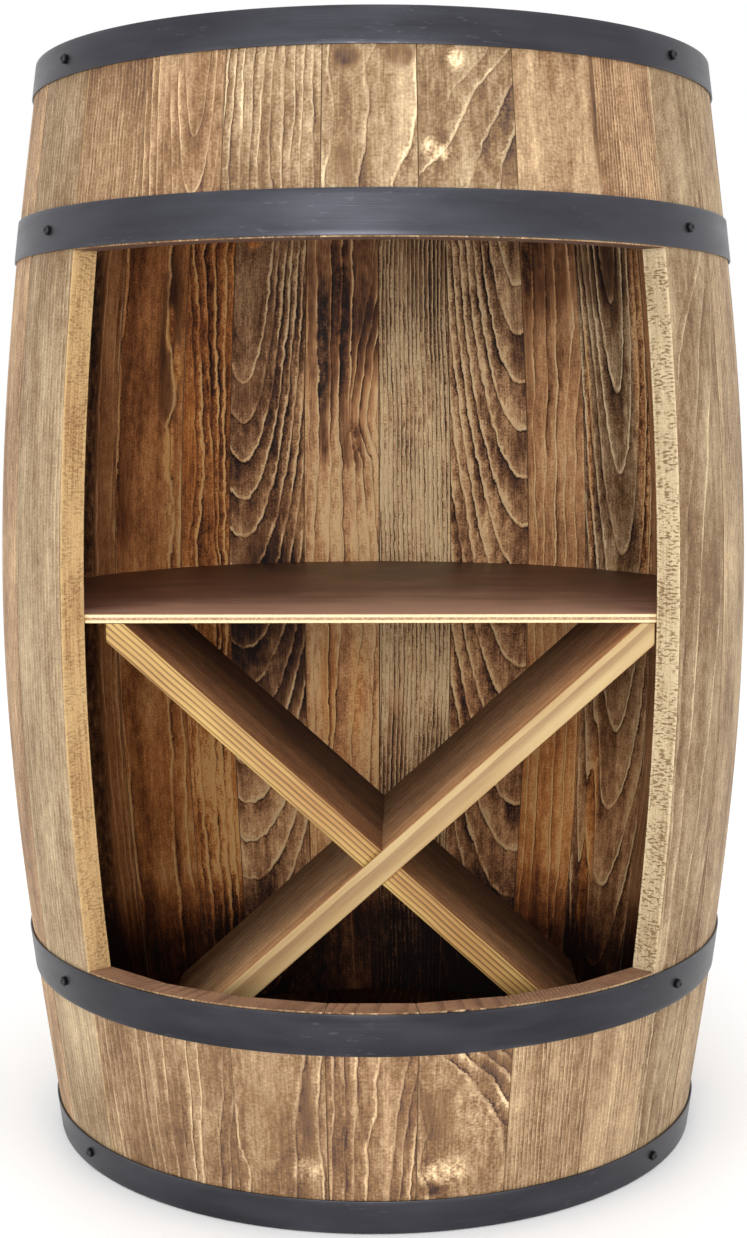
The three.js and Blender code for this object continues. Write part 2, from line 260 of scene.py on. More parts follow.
def rim_map(points, faces, count, rows, lengths, offset):
    """The grain map: on walls, distance round the section's rim and length along the piece; on the
    ends, the distance from the middle and the place along the section."""
    ring = points[(rows // 2) * count: (rows // 2 + 1) * count]
    steps = np.linalg.norm(np.roll(ring, -1, 0) - ring, axis=1)
    start = np.concatenate([[0], np.cumsum(steps)])
    column = np.tile(np.arange(count), rows - 1)[:, None] + [0, 1, 1, 0]
    maps = [np.stack([start[column], lengths[faces[0]]], -1) + offset]
    for cap in faces[1:]:
        flat = points[cap]
        reach = np.linalg.norm((flat - flat.reshape(-1, 3).mean(0))[..., :2], axis=-1)
        maps.append(np.stack([reach, flat[..., 2] + flat[..., 0]], -1) + offset)
    return maps


def sectioned_piece(name, seed, solid, rows, lengths, materials, values):
    """A block as a finished object: its grain map starts at a seeded place, and its faces, sides and
    ends take the three finishes in turn."""
    points, faces, _, sides, count = solid
    offset = np.random.default_rng(seed + 9).uniform(0, 9, 2)
    corners = rim_map(points, faces, count, rows, lengths, offset)
    kinds = np.array([0, 1, 0, 1, 2])[sides.astype(int)]
    return piece(name, points, faces, corners, materials, values, kinds)


def eased(corner, edge):
    """How far the corners of a section are drawn in, where a rounded edge passes inside them."""
    return np.where(corner, CORNER_EASE * edge, 0)


def closed_by_poles(rings, count, first, last):
    """A surface through rings of points, each of the same count, closed by a pole at both ends."""
    points = np.concatenate([rings, [first], [last]])
    around = np.arange(count)
    after = (around + 1) % count
    end = len(rings) - count
    start = np.stack([np.full(count, len(rings)), after, around], -1)
    finish = np.stack([np.full(count, len(rings) + 1), end + around, end + after], -1)
    return points, [quads_between(len(rings) // count, count), np.concatenate([start, finish])]


def turned(profile, count):
    """A profile of radius and height pairs, from the axis back to the axis, turned about the vertical.
    The first and last points close it as poles."""
    profile = np.asarray(profile, float)
    angle = np.arange(count) * 2 * math.pi / count
    reach, height = profile[1:-1].T[..., None]
    ring = np.stack(np.broadcast_arrays(reach * np.cos(angle), reach * np.sin(angle), height), -1)
    return closed_by_poles(ring.reshape(-1, 3), count, (0, 0, profile[0, 1]), (0, 0, profile[-1, 1]))


def stood(points, outwards, seat):
    """Points turned so that their +Z looks outwards, and set on a seat."""
    rotation = np.array(Vector(outwards).to_track_quat("Z", "Y").to_matrix())
    return points @ rotation.T + seat


def flat_corners(points, faces):
    """A grain map that simply looks down on each face."""
    return [points[group][..., :2] for group in faces]


def joined(parts):
    """Several closed surfaces as one: points, faces, corners and values, with the four-sided faces
    first."""
    points, values, groups = [], [], {4: [], 3: []}
    total = 0
    for part_points, part_faces, part_corners, part_values in parts:
        way = -1 if signed_volume(part_points, part_faces) < 0 else 1
        for group, corner in zip(part_faces, part_corners):
            groups[group.shape[1]].append((group[:, ::way] + total, corner[:, ::way]))
        points.append(part_points)
        values.append(part_values)
        total += len(part_points)
    merged = [[np.concatenate(column) for column in zip(*pairs)] for pairs in groups.values() if pairs]
    faces, corners = zip(*merged)
    return np.concatenate(points), faces, corners, np.concatenate(values)


# Grain

Grain = namedtuple(
    "Grain", "tone warm relief pitch heart top taper first sway line paths spots",
    defaults=(90.0, 1000.0, 0.03, 0.0, 1.0, 1.6, (), ()),
)


def arch_field(grain, seed, across, depth, height):
    """Growth rings, counted: the distance from a gently wandering heart over the ring width. The heart
    lies in the shown face at the height grain.top and sinks by grain.taper below it, so the rings cut
    the face in arches."""
    wander = 2.0 * ripples(seed, [height / 60], 5) + 0.6 * ripples(seed + 1, [height / 19], 4)
    uneven = 0.8 * ripples(seed + 2, [height / 55], 4)
    level = np.maximum(2, grain.taper * (grain.top - height) + uneven) + depth
    aside = across - grain.heart + grain.sway * wander
    distance = np.hypot(aside, level)
    slope = np.hypot(aside, level * grain.taper) / distance
    fine = ripples(seed + 3, [across / 6, height / 26])
    return (distance + grain.sway * 0.5 * slope * fine) / grain.pitch, slope / grain.pitch


def path_field(grain, seed, across, depth, height):
    """Rings that meet the face in known ridges: each is a path of height and across pairs, from left to
    right. The count is a whole number on a path, even between two of them, and goes on by the ring
    width beyond the last."""
    lines = np.stack([np.interp(height, *np.array(sorted(path)).T) for path in grain.paths])
    lines = lines + grain.sway * 0.7 * ripples(seed, [height / 11], 5) + 0.15 * depth
    passed = (lines <= across).sum(0)
    point = np.arange(len(across))
    left = lines[np.maximum(passed - 1, 0), point]
    right = lines[np.minimum(passed, len(lines) - 1), point]
    between = (passed > 0) & (passed < len(lines))
    gap = np.where(between, np.maximum(right - left, 0.5), grain.pitch)
    start = np.where(passed > 0, left, right - grain.pitch)
    return passed + (across - start) / gap, 1 / gap


def three(numbers):
    """A number each for the foot, the middle and the top of a face. One number may stand for all."""
    return np.broadcast_to(numbers, 3)


def nearness(depth, thickness):
    """1 in the shown quarter of the wood, 0 in the far one, and even between them."""
    return np.clip(1.5 - depth / thickness * 2, 0, 1)


def spot_field(spots, across, height):
    """What stains, knots and painted shadows add to tone, warmth and rings: each is a soft oval at a
    place on the face.
    """
    total = np.zeros((3, len(across)))
    for where_across, where_up, wide, long, *strengths in spots:
        square = ((across - where_across) / wide) ** 2 + ((height - where_up) / long) ** 2
        strengths += [0] * (3 - len(strengths))
        total += np.outer(strengths, np.exp(-square ** 3))
    return total


def grain_values(shown, other, seed, across, depth, height, thickness, levels):
    """The numbers that a finish reads: ring count, the share of a ring that its light line takes, tone,
    stains together with painted shadows, warmth, roughness of the relief and strength of the ridges. They
    go over from the shown face's grain to the other face's halfway through the wood."""
    field = path_field if shown.paths else arch_field
    rings, density = field(shown, seed, across, depth, height)
    dark, warmer, push = spot_field(shown.spots, across, height)
    near = nearness(depth, thickness)
    fade = np.clip(rings - shown.first + 0.5, 0, 1)
    warm = np.interp(height, levels, three(shown.warm)) + warmer
    return {
        "rings": rings + push,
        "slim": np.clip(shown.line * density, 0.03, 0.5),
        "tone": near * np.interp(height, levels, three(shown.tone)) + (1 - near) * three(other.tone)[1],
        # the spots' darkening: real stains and painted shadows
        "stain": near * dark,
        "warm": np.clip(near * warm + (1 - near) * three(other.warm)[1], 0, 1),
        "relief": near * shown.relief + (1 - near) * other.relief,
        "ridges": near * shown.relief * fade + (1 - near) * other.relief,
    }


# Finishes

def paint(red, green, blue):
    """A colour given as seen, 0 to 255, in the linear numbers that shaders use."""
    seen = np.array([red, green, blue]) / 255
    linear = np.where(seen <= 0.04045, seen / 12.92, ((seen + 0.055) / 1.055) ** 2.4)
    return tuple(linear.tolist())


class Socket:
    """A number that varies over a surface. Sums and products of these add the Math nodes they need."""

    def __init__(self, finish, output):
        self.finish = finish
        self.output = output

    def math(self, operation, *numbers):
        return self.finish.add("ShaderNodeMath", {"operation": operation}, dict(enumerate(numbers)))

    def __add__(self, other):
        return self.math("ADD", self, other)

    __radd__ = __add__

    def __sub__(self, other):
        return self.math("SUBTRACT", self, other)

    def __rsub__(self, other):
        return self.math("SUBTRACT", other, self)

    def __mul__(self, other):
        return self.math("MULTIPLY", self, other)

    __rmul__ = __mul__

    def fract(self):
        return self.math("FRACT", self)

    def floor(self):
        return self.math("FLOOR", self)

    def smooth(self, low, high):
        """0 below low and 1 above high, with a soft step between."""
        limits = {0: self, 1: low, 2: high, 3: 0.0, 4: 1.0}
        return self.finish.add("ShaderNodeMapRange", {"interpolation_type": "SMOOTHSTEP"}, limits)


class Finish:
    """A material, built node by node. Its noises lie flat on the piece's grain map, or fill the
    cabinet's space."""

    def __init__(self, name, flat=True):
        self.material = bpy.data.materials.new(name)
        self.material.use_nodes = True
        self.tree = self.material.node_tree
        self.tree.nodes.clear()
        self.dimensions = "2D" if flat else "3D"
        if flat:
            self.place = self.add("ShaderNodeUVMap", {"uv_map": "grain"})
        else:
            self.place = self.add("ShaderNodeTexCoord", None, None, "Object")

    def add(self, kind, settings=None, sockets=None, result=0):
        """Adds a node: its settings first, then the values or links of its sockets. Returns one of its
        outputs."""
        node = self.tree.nodes.new(kind)
        for key, value in (settings or {}).items():
            setattr(node, key, value)
        for key, value in (sockets or {}).items():
            socket = node.inputs[key]
            if isinstance(value, Socket):
                self.tree.links.new(value.output, socket)
            else:
                socket.default_value = (*value, 1.0) if socket.type == "RGBA" else value
        return Socket(self, node.outputs[result]) if len(node.outputs) else None

    def values(self, *names):
        """Numbers stored at the piece's points."""
        return [self.add("ShaderNodeAttribute", {"attribute_name": name}, None, "Fac") for name in names]

    def noise(self, x, y, z=1.0, detail=2.0):
        """Seamless noise around a half, with its own scale along each axis."""
        factors = {0: self.place, 1: (x, y, z)}
        scaled = self.add("ShaderNodeVectorMath", {"operation": "MULTIPLY"}, factors)
        sockets = {"Vector": scaled, "Scale": 1.0, "Detail": detail}
        return self.add("ShaderNodeTexNoise", {"noise_dimensions": self.dimensions}, sockets)

    def swing(self, x, y, z=1.0, detail=2.0):
        """The same noise around zero."""
        return self.noise(x, y, z, detail) - 0.5

    def mix(self, amount, first, second):
        """One colour laid over another by an amount."""
        return self.add("ShaderNodeMix", {"data_type": "RGBA"}, {0: amount, 6: first, 7: second}, 2)

    def ramp(self, amount, stops):
        """A colour picked along a row of stops."""
        picked = self.add("ShaderNodeValToRGB", None, {0: amount})
        row = picked.output.node.color_ramp.elements
        for _ in range(len(stops) - len(row)):
            row.new(1.0)
        for element, (position, colour) in zip(row, stops.items()):
            element.position = position
            element.color = (*colour, 1.0)
        return picked

    def bump(self, height, distance):
        """A surface normal tipped by a height."""
        return self.add("ShaderNodeBump", None, {"Height": height, "Distance": distance, "Strength": 1.0})

    def surface(self, **sockets):
        """The finished surface. Names of sockets are written with underscores."""
        named = {key.replace("_", " "): value for key, value in sockets.items()}
        shader = self.add("ShaderNodeBsdfPrincipled", None, named)
        self.add("ShaderNodeOutputMaterial", None, {"Surface": shader})
        return self.material


def stained_wood(name, looks):
    """Wire-brushed stained softwood: slim light ridges stand up beside dark grooves where the late
    rings meet the face, over blotchy stain, streaks, fibres and grit. Each groove is partly stain gathered
    there and partly painted shadow of its ridge, and a painted shade lightens from it towards the next
    ridge; the stain value also carries the painted shadows of the spots. The ridges waver and fade in and
    out along their way."""
    wood = Finish(name)
    rings, slim, tone, stain = wood.values("rings", "slim", "tone", "stain")
    warm, relief, ridges = wood.values("warm", "relief", "ridges")
    fibre = wood.swing(760, 52)
    streak = wood.swing(150, 5)
    blotch = wood.swing(34, 11, detail=4.0)
    grit = wood.swing(430, 600)
    jag = wood.swing(150, 105)
    broken = wood.noise(70, 15, detail=1.0).smooth(0.36, 0.6)
    count = rings + slim * (1.2 * jag + 0.6 * grit) + 0.8 * slim * streak
    place = count.fract()
    luck = wood.add("ShaderNodeTexWhiteNoise", {"noise_dimensions": "1D"}, {"W": count.floor()})
    ridge = place.smooth(0.97 - slim, 0.97 - 0.45 * slim) * (1 - place.smooth(0.965, 1.0))
    shoulder = place.smooth(1 - 2.6 * slim, 1 - slim)
    # groove: partly stain gathered there and partly painted shadow beside the ridge; shade: painted shade
    # that lightens towards the next ridge
    groove = 1 - place.smooth(0.0, 0.6 * slim)
    shade = 1 - place.smooth(0.0, 0.75)
    bold = ridges * (0.35 + 0.65 * luck) * (0.4 + 0.6 * broken)
    rough = 0.35 + 0.35 * relief
    lines = 0.32 * ridge + 0.08 * shoulder - 0.24 * groove - 0.18 * shade
    # stain carries real stains and the spots' painted shadows
    value = tone + bold * lines + stain * (0.85 + 2.0 * jag + 1.6 * grit)
    value = value + rough * (0.42 * fibre + 0.30 * streak + 0.85 * blotch + 0.5 * grit + 0.4 * jag)
    neutral = wood.ramp(value, {
        0.0: looks.soot, 0.2: looks.umber, 0.42: looks.brown, 0.62: looks.tan, 0.8: looks.golden,
        1.0: looks.pale,
    })
    warmer = wood.ramp(value, {
        0.0: looks.warm_soot, 0.25: looks.warm_umber, 0.5: looks.warm_brown, 0.75: looks.warm_orange,
        1.0: looks.warm_pale,
    })
    height = bold * (0.9 * ridge - 0.6 * groove) + 0.3 * fibre + rough * 0.9 * grit
    return wood.surface(
        Base_Color=wood.mix(warm, neutral, warmer),
        Roughness=0.66 - 0.06 * ridge + 0.12 * fibre,
        Specular_IOR_Level=0.3,
        Normal=wood.bump(height, looks.brush_depth),
    )


def sawn_wood(name, looks, light, dark, saw_marks=0.6, lines=0.25):
    """Sawn sides left pale: short dark dashes of the saw across fine lines of the grain, and a light
    outer rim."""
    wood = Finish(name)
    rim, = wood.values("rim")
    fibre = wood.swing(650, 16)
    stain = wood.swing(50, 14, detail=3.0)
    grit = wood.swing(700, 600)
    saw = wood.noise(210, 700).smooth(0.48, 0.70)
    patch = wood.noise(70, 60).smooth(0.26, 0.56)
    edge = 1 - rim.smooth(0.8, 2.6)
    amount = 0.34 + lines * 2.0 * fibre + 0.8 * stain + 0.6 * grit + saw_marks * saw * patch - 0.34 * edge
    return wood.surface(
        Base_Color=wood.mix(amount.smooth(0.0, 1.0), light, dark),
        Roughness=0.72 + 0.1 * fibre,
        Normal=wood.bump(0.4 * grit - 0.7 * saw * patch, looks.brush_depth),
    )


def end_wood(name, looks, light, dark):
    """Sawn ends: curved growth rings and dark pores, darker where the piece lies in shade."""
    wood = Finish(name, flat=False)
    rings, shade = wood.values("rings", "shade")
    blotch = wood.swing(60, 60, 60, detail=3.0)
    pores = wood.noise(1500, 1500, 60, detail=1.0).smooth(0.56, 0.70)
    count = (rings + 0.2 * blotch).fract()
    late = count.smooth(0.45, 0.9) * (1 - count.smooth(0.94, 1.0))
    amount = 0.3 + 0.25 * late + 0.8 * blotch + 0.3 * pores + shade
    return wood.surface(
        Base_Color=wood.mix(amount.smooth(0.0, 1.0), light, dark),
        Roughness=0.8 - 0.1 * late,
        Normal=wood.bump(0.4 * late - 0.4 * pores, looks.brush_depth),
    )


def edge_pine(name, looks, light, dark, warm):
    """The crossed boards' cut edges: raw pine with dark late rings running along it, a little uneven in
    colour."""
    wood = Finish(name)
    rings, = wood.values("rings")
    fibre = wood.swing(1100, 18)
    stain = wood.swing(60, 7, detail=3.0)
    place = (rings + 0.10 * fibre + 0.10 * stain).fract()
    late = place.smooth(0.35, 0.88) * (1 - place.smooth(0.93, 1.0))
    amount = (0.78 * late + 0.5 * stain + 0.4 * fibre).smooth(0.0, 1.0)
    base = wood.mix((0.5 + 1.6 * stain).smooth(0.0, 1.0), light, warm)
    return wood.surface(
        Base_Color=wood.mix(amount, base, dark),
        Roughness=0.55 + 0.1 * fibre,
        Normal=wood.bump(0.4 * fibre + 0.3 * late, looks.brush_depth),
    )


def shelf_finish():
    """Three-ply board: a stained veneer with long grain from side to side, and an edge that shows its
    plies. The veneer is painted lighter towards the front and darker towards the back and the sides:
    painted light and shade."""
    ply = Finish("shelf_ply", flat=False)
    edge, level, painted_front_light = ply.values("edge", "level", "front")
    fibre = ply.swing(14, 620, 620)
    streak = ply.swing(3.5, 90, detail=3.0)
    sweep = ply.swing(1.6, 14)
    across = ply.swing(800, 60, 900)
    cloud = ply.swing(17, 26, detail=5.0)
    # the front value paints the veneer lighter at the front and darker behind: painted light and shade
    veneer = ply.ramp(0.19 + 1.08 * painted_front_light + 0.4 * streak + 0.6 * fibre + 0.4 * sweep + 0.7 * cloud, {
        0.0: paint(50, 29, 23), 0.35: paint(98, 63, 52),
        0.65: paint(140, 98, 83), 1.0: paint(198, 154, 130),
    })
    core = level.smooth(0.30, 0.36) * (1 - level.smooth(0.64, 0.70))
    plies = ply.mix(core, paint(232, 208, 164), paint(118, 78, 46))
    plies = ply.mix((0.5 + 1.4 * across).smooth(0.1, 1.1), plies, paint(205, 172, 126))
    return ply.surface(
        Base_Color=ply.mix(edge, veneer, plies),
        Roughness=0.46 + 0.2 * fibre + 0.1 * streak,
        Normal=ply.bump(0.4 * fibre, 0.0002),
    )


def hoop_steel(looks):
    """Flat strap with a dark blue-grey coat: faint rolling lines along it, cloudy wear, and a few
    scuffs. Each hoop's shade value paints its whole coat lighter or darker: painted light and shade."""
    steel = Finish("hoop_steel")
    shade, edge = steel.values("shade", "edge")
    rolling = steel.swing(10, 2600)
    cloud = steel.swing(14, 60, detail=4.0)
    fleck = steel.noise(420, 700).smooth(0.66, 0.74)
    scuff = steel.noise(90, 420, detail=3.0).smooth(0.63, 0.70)
    patch = steel.noise(7, 22).smooth(0.52, 0.62)
    wear = (scuff * patch * 0.35 + fleck * 0.12 + edge * (0.25 + cloud)).smooth(0.0, 1.0)
    # shade lifts or lowers the coat hoop by hoop: painted light and shade
    base = steel.mix(shade + 1.1 * cloud + 0.3 * rolling, looks.steel_dark, looks.steel_light)
    return steel.surface(
        Base_Color=steel.mix(wear, base, looks.steel_worn),
        Roughness=looks.steel_roughness + 0.22 * cloud + 0.10 * rolling - 0.05 * wear,
        Metallic=0.92,
        Normal=steel.bump(0.25 * rolling + 0.5 * cloud, 0.00012),
    )


def screw_black():
    """Black phosphated steel: near black and a little cloudy."""
    black = Finish("screw_black", flat=False)
    cloud = black.swing(900, 900, 900)
    shade = black.mix(0.5 + cloud, (0.008, 0.008, 0.009), (0.035, 0.035, 0.038))
    return black.surface(Base_Color=shade, Roughness=0.42 + 0.2 * cloud, Metallic=0.6)


# Staves

STAVES = {
    "wall_stave_18": Grain((0.58, 0.58, 0.44), 0.04, 0.45, 4.6, heart=-110, sway=0.5, line=1.2),
    "wall_stave_01": Grain(
        (0.54, 0.52, 0.52), 0.06, 0.55, 9, line=1.8, sway=1.2,
        paths=(((800, 26), (659, 23), (623, -5), (583, -26), (550, -34)),
               ((800, 34), (671, 32), (590, 4), (475, -23), (353, -30)),
               ((670, 44), (556, 16), (447, -4), (337, -13), (246, -19), (100, -26)),
               ((640, 56), (486, 42), (347, 18), (263, 8), (184, -3), (60, -12)),
               ((640, 74), (378, 46), (267, 27), (179, 13), (60, 4))),
    ),
    "wall_stave_02": Grain(0.5, 0.2, 0.5, 4.0, heart=-130, sway=0.7, line=1.2),
    # wall_stave_15's low tone is painted shade of the opening's inner left side
    "wall_stave_15": Grain(0.24, 0.4, 0.5, 4.4, heart=130, sway=0.7, line=1.2),
    "wall_stave_17": Grain(0.46, 0.3, 0.5, 4.4, heart=130, sway=0.7, line=1.2),
    "wall_stave_05": Grain((0.62, 0.7, 0.66), 0.6, 0.5, 7.0, heart=-80, sway=0.8, line=1.4),
    "wall_stave_06": Grain(
        (0.71, 0.56, 0.55), (0.6, 0.25, 0.15), 1.8, 7.4, heart=3, top=770, taper=0.105, first=1.6, line=3.2,
        spots=((-36, 520, 4, 130, 0.24, 0.5), (-20, 150, 9, 120, 0.02, 0.4, 0.8),
               # the wide dark oval at 705 mm is painted shadow of the band over the opening
               (2, 705, 60, 72, -0.28), (38, 560, 11, 220, 0.26, 0.5)),
    ),
    "wall_stave_07": Grain(
        (0.84, 0.74, 0.68), (0.95, 0.6, 0.55), 1.2, 12, line=2.6, sway=1.6,
        paths=(((800, -14), (560, -23), (420, -22), (0, -26)),
               ((800, 0), (600, -6), (419, -14), (120, -12)),
               ((800, 13), (637, 7), (437, -1), (172, 7), (60, 16)),
               ((800, 20), (621, 27), (562, 15), (458, 10), (200, 20))),
        # the wide dark oval at 705 mm is painted shadow of the band over the opening
        spots=((-25, 640, 7, 90, -0.25), (0, 705, 50, 74, -0.34)),
    ),
    "wall_stave_08": Grain(
        (0.62, 0.68, 0.6), (0.65, 0.52, 0.38), 2.4, 7.4, heart=36, top=823, taper=0.175, sway=0.7, line=3.2,
        spots=((34, 640, 9, 60, -0.12), (30, 500, 8, 80, -0.08)),
    ),
    "wall_stave_09": Grain(
        (0.74, 0.97, 0.72), (0.48, 0.4, 0.32), 2.8, 4.4, heart=-130, line=1.5,
        # the wide dark oval at 704 mm is painted shadow of the band over the opening
        spots=((14, 704, 40, 66, -0.34), (4, 330, 12, 50, 0.16, 0.1),
               (-18, 250, 10, 70, -0.22, 0.1)),
    ),
    "wall_stave_10": Grain(
        (0.9, 0.92, 0.8), (0.8, 0.6, 0.5), 1.8, 9, line=2.0, sway=1.5,
        paths=(((800, -30), (660, -26), (540, -22), (420, -29), (0, -30)),
               ((800, -12), (560, -10), (400, -14)), ((800, 2), (538, -2), (400, 2), (253, -9), (150, -16)),
               ((800, 12), (540, 10), (346, 20), (253, 9)),
               ((760, 44), (669, 32), (600, 16), (538, 8), (500, 20), (346, 34), (188, 27))),
        spots=((-20, 600, 7, 60, -0.34, -0.2), (-17, 520, 5, 22, -0.34),
               (3, 570, 6, 26, -0.2), (17, 515, 6, 24, -0.34), (-14, 300, 9, 60, -0.18, 0.2),
               (14, 290, 8, 50, 0.12, 0.2), (8, 520, 7, 26, -0.34),
               # the two wide dark ovals near 645 mm are painted shadow of the band over the opening
               (-18, 642, 25, 102, -0.4, 0.1), (17, 646, 25, 122, -0.4, 0.1)),
    ),
    "wall_stave_11": Grain(
        (0.76, 0.52, 0.46), (0.6, 0.55, 0.42), 1.9, 7.0, heart=-25, top=715, taper=0.2, first=3.4, sway=0.8,
        line=3.0,
        spots=((-20, 700, 9, 10, 0.3, 0.7), (0, 650, 40, 60, -0.04), (-20, 565, 14, 16, -0.1),
               # the wide dark oval at 345 mm is painted shadow of the shelf
               (6, 345, 60, 80, -0.5, -0.1)),
    ),
    "wall_stave_12": Grain(
        (0.83, 0.64, 0.46), (1.0, 0.95, 0.95), 2.1, 9, line=3.6, sway=1.7,
        paths=(((800, -24), (690, -20), (630, -11), (579, -6), (498, -1), (417, -11), (262, -14),
                (111, -11)), ((800, -12), (685, -8), (619, -1), (559, 4), (498, 9), (400, 12), (200, 2)),
               ((800, 2), (685, 4), (619, 9), (540, 15), (200, 12)),
               ((800, 14), (659, 19), (415, 23), (200, 21))),
        spots=((-18, 520, 10, 50, -0.1, 0.1), (2, 210, 22, 90, 0.1, 0.1)),
    ),
    "wall_stave_13": Grain(
        (0.78, 0.74, 0.62), (0.95, 0.85, 0.85), 1.4, 14, line=3.4, sway=1.8,
        paths=(((800, -60), (0, -60)), ((800, -36), (500, -40), (0, -36)),
               ((800, 20), (640, 17), (616, 21), (600, 29), (587, 29), (572, 34), (556, 34), (537, 21),
                (524, 27), (498, 25), (482, 33), (450, 34), (418, 28), (290, 22), (141, 14)),
               ((800, 44), (600, 46), (400, 40), (141, 34))),
        spots=((22, 612, 14, 78, -0.26, -0.25), (20, 620, 6, 20, 0.6, 0.4),
               (30, 588, 6, 20, 0.5, 0.4), (24, 463, 5, 7, 0.35, 0, 0.5), (24, 516, 6, 26, 0.7, 0.3),
               (-32, 460, 10, 70, -0.14)),
    ),
    "wall_stave_14": Grain(
        (0.76, 0.72, 0.62), (0.85, 0.75, 0.7), 1.0, 8, line=2.0, sway=1.6,
        paths=(((800, 12), (500, 8), (200, 14)), ((800, 28), (578, 31), (532, 34), (300, 26))),
        # the long dark oval down the left is painted shade of the opening's inner left side
        spots=((-20, 400, 27, 520, -0.58, -0.3),),
    ),
    "lintel_stave_1": Grain(0.41, 0.2, 0.5, 3.2, heart=120, line=1.1),
    "lintel_stave_2": Grain(
        0.48, 0.24, 0.6, 5.2, heart=10, top=800, taper=0.14, first=1.5, sway=0.5, line=1.5,
    ),
    "lintel_stave_3": Grain((0.47, 0.48, 0.48), 0.08, 0.8, 6.6, heart=-140, sway=1.8, line=2.0),
    "lintel_stave_4": Grain(
        0.57, 0.08, 0.78, 16, line=2.2, sway=1.4,
        paths=(((773, -25), (735, -22), (688, -27)), ((774, 5), (763, 0), (735, -1), (688, -6)),
               ((774, 34), (733, 30), (712, 25), (688, 15))),
        spots=((-15, 768, 9, 7, -0.25), (20, 769, 9, 7, -0.26), (-12, 700, 14, 14, -0.08)),
    ),
    "lintel_stave_5": Grain(
        0.45, 0.06, 0.85, 14, line=2.8, sway=1.2,
        paths=(((775, 30), (770, 26), (748, 6), (732, -2), (719, -10), (708, -17), (688, -40)),
               ((775, 40), (749, 30), (732, 21), (717, 10), (701, 4), (688, 0)),
               ((775, 50), (721, 31), (712, 26), (702, 22), (688, 20))),
        spots=((-24, 711, 6, 6, 0.4, 0.1), (-16, 709, 5, 5, 0.3, 0.1), (-7, 768, 6, 7, 0.36, 0.1)),
    ),
    "lintel_stave_6": Grain(
        0.55, 0.2, 0.9, 6, heart=-90, first=99, line=1.4,
        spots=((30, 750, 3, 60, -0.2),),
    ),
    "lintel_stave_7": Grain(0.54, 0.3, 0.8, 2.6, heart=120, sway=0.6, line=1.0),
    "skirt_stave_1": Grain(0.45, 0.14, 0.5, 5.4, heart=120, line=1.6),
    "skirt_stave_2": Grain(
        0.47, 0.16, 0.65, 8, line=1.8, sway=1.3,
        paths=(((130, -21), (79, -23), (43, -20)), ((124, -11), (82, -12), (34, -10)),
               ((126, -2), (40, -4)), ((126, 7), (85, 5), (37, 2)),
               ((115, 26), (88, 22), (60, 18), (24, 16))),
    ),
    "skirt_stave_3": Grain(
        0.47, 0.18, 0.75, 9, line=2.2, sway=1.4,
        paths=(((128, -44), (101, -33), (84, -29), (56, -29), (39, -23), (27, -24)),
               ((128, 20), (107, 17), (80, 13), (53, 12), (30, 10)), ((128, 30), (95, 27), (27, 30))),
        spots=((20, 90, 5, 34, -0.14), (18, 46, 9, 9, 0.2), (-8, 90, 14, 40, -0.05)),
    ),
    "skirt_stave_4": Grain(
        0.45, 0.24, 0.8, 7, line=2.2, sway=1.5,
        paths=(((129, -25), (33, -27)), ((129, -19), (78, -18), (27, -18)),
               ((129, -10), (78, -11), (27, -12)), ((129, 5), (108, 2), (87, 2), (69, -2), (33, -3)),
               ((129, 24), (105, 20), (87, 16), (63, 16), (33, 13))),
        spots=((24, 80, 9, 26, -0.08),),
    ),
    "skirt_stave_5": Grain(
        0.49, 0.2, 0.95, 13, line=4.6, sway=1.5,
        paths=(((129, -34), (70, -26), (46, -29), (24, -20)),
               ((128, -14), (112, 4), (90, 20), (75, 28), (24, 40))),
        spots=((22, 118, 12, 16, -0.16), (-12, 44, 17, 11, 0.3), (-22, 32, 8, 5, -0.36),
               (-18, 85, 12, 20, -0.1), (6, 90, 16, 16, 0.08), (14, 72, 14, 14, 0.1)),
    ),
    "skirt_stave_6": Grain(0.53, 0.16, 0.5, 3.0, heart=120, sway=0.6, line=1.2),
    "skirt_stave_7": Grain(0.59, 0.16, 0.5, 3.4, heart=120, sway=0.6, line=1.2),
}


def unseen_grain(seed, inside):
    """A grain for a stave, or for the side of one, that is picked by its seed from the ranges of the
    others."""
    luck = np.random.default_rng(seed)
    tone = luck.uniform(0.42, 0.56) if inside else luck.uniform(0.48, 0.60)
    warm = luck.uniform(0.1, 0.5) if inside else luck.uniform(0.08, 0.3)
    drift = luck.uniform(-0.04, 0.04)
    arched = luck.random() < 0.45
    return Grain(
        (tone - drift, tone, tone + drift), warm, luck.uniform(0.4, 0.85),
        pitch=luck.uniform(5, 9) if arched else luck.uniform(2.6, 7),
        heart=luck.uniform(-20, 20) if arched else luck.choice([-1, 1]) * luck.uniform(70, 140),
        top=luck.uniform(760, 1000), taper=luck.uniform(0.08, 0.2), sway=luck.uniform(0.6, 1.5),
        line=luck.uniform(1.2, 2.2),
    )


def stave_heights(low, high, step, edge, grooves):
    """Rows up a stave: close ones at each end, one every step, and close ones by the head's groove."""
    close = CLOSE_ROWS * edge
    count = max(2, round((high - low) / step))
    rows = [low + close, high - close, np.linspace(low + 1.7 * edge, high - 1.7 * edge, count)]
    rows += [groove + CROZE_ROWS for groove in grooves if low < groove < high]
    rows = np.unique(np.round(np.concatenate(rows), 6))
    return rows[np.concatenate([[True], np.diff(rows) > 0.00015])]


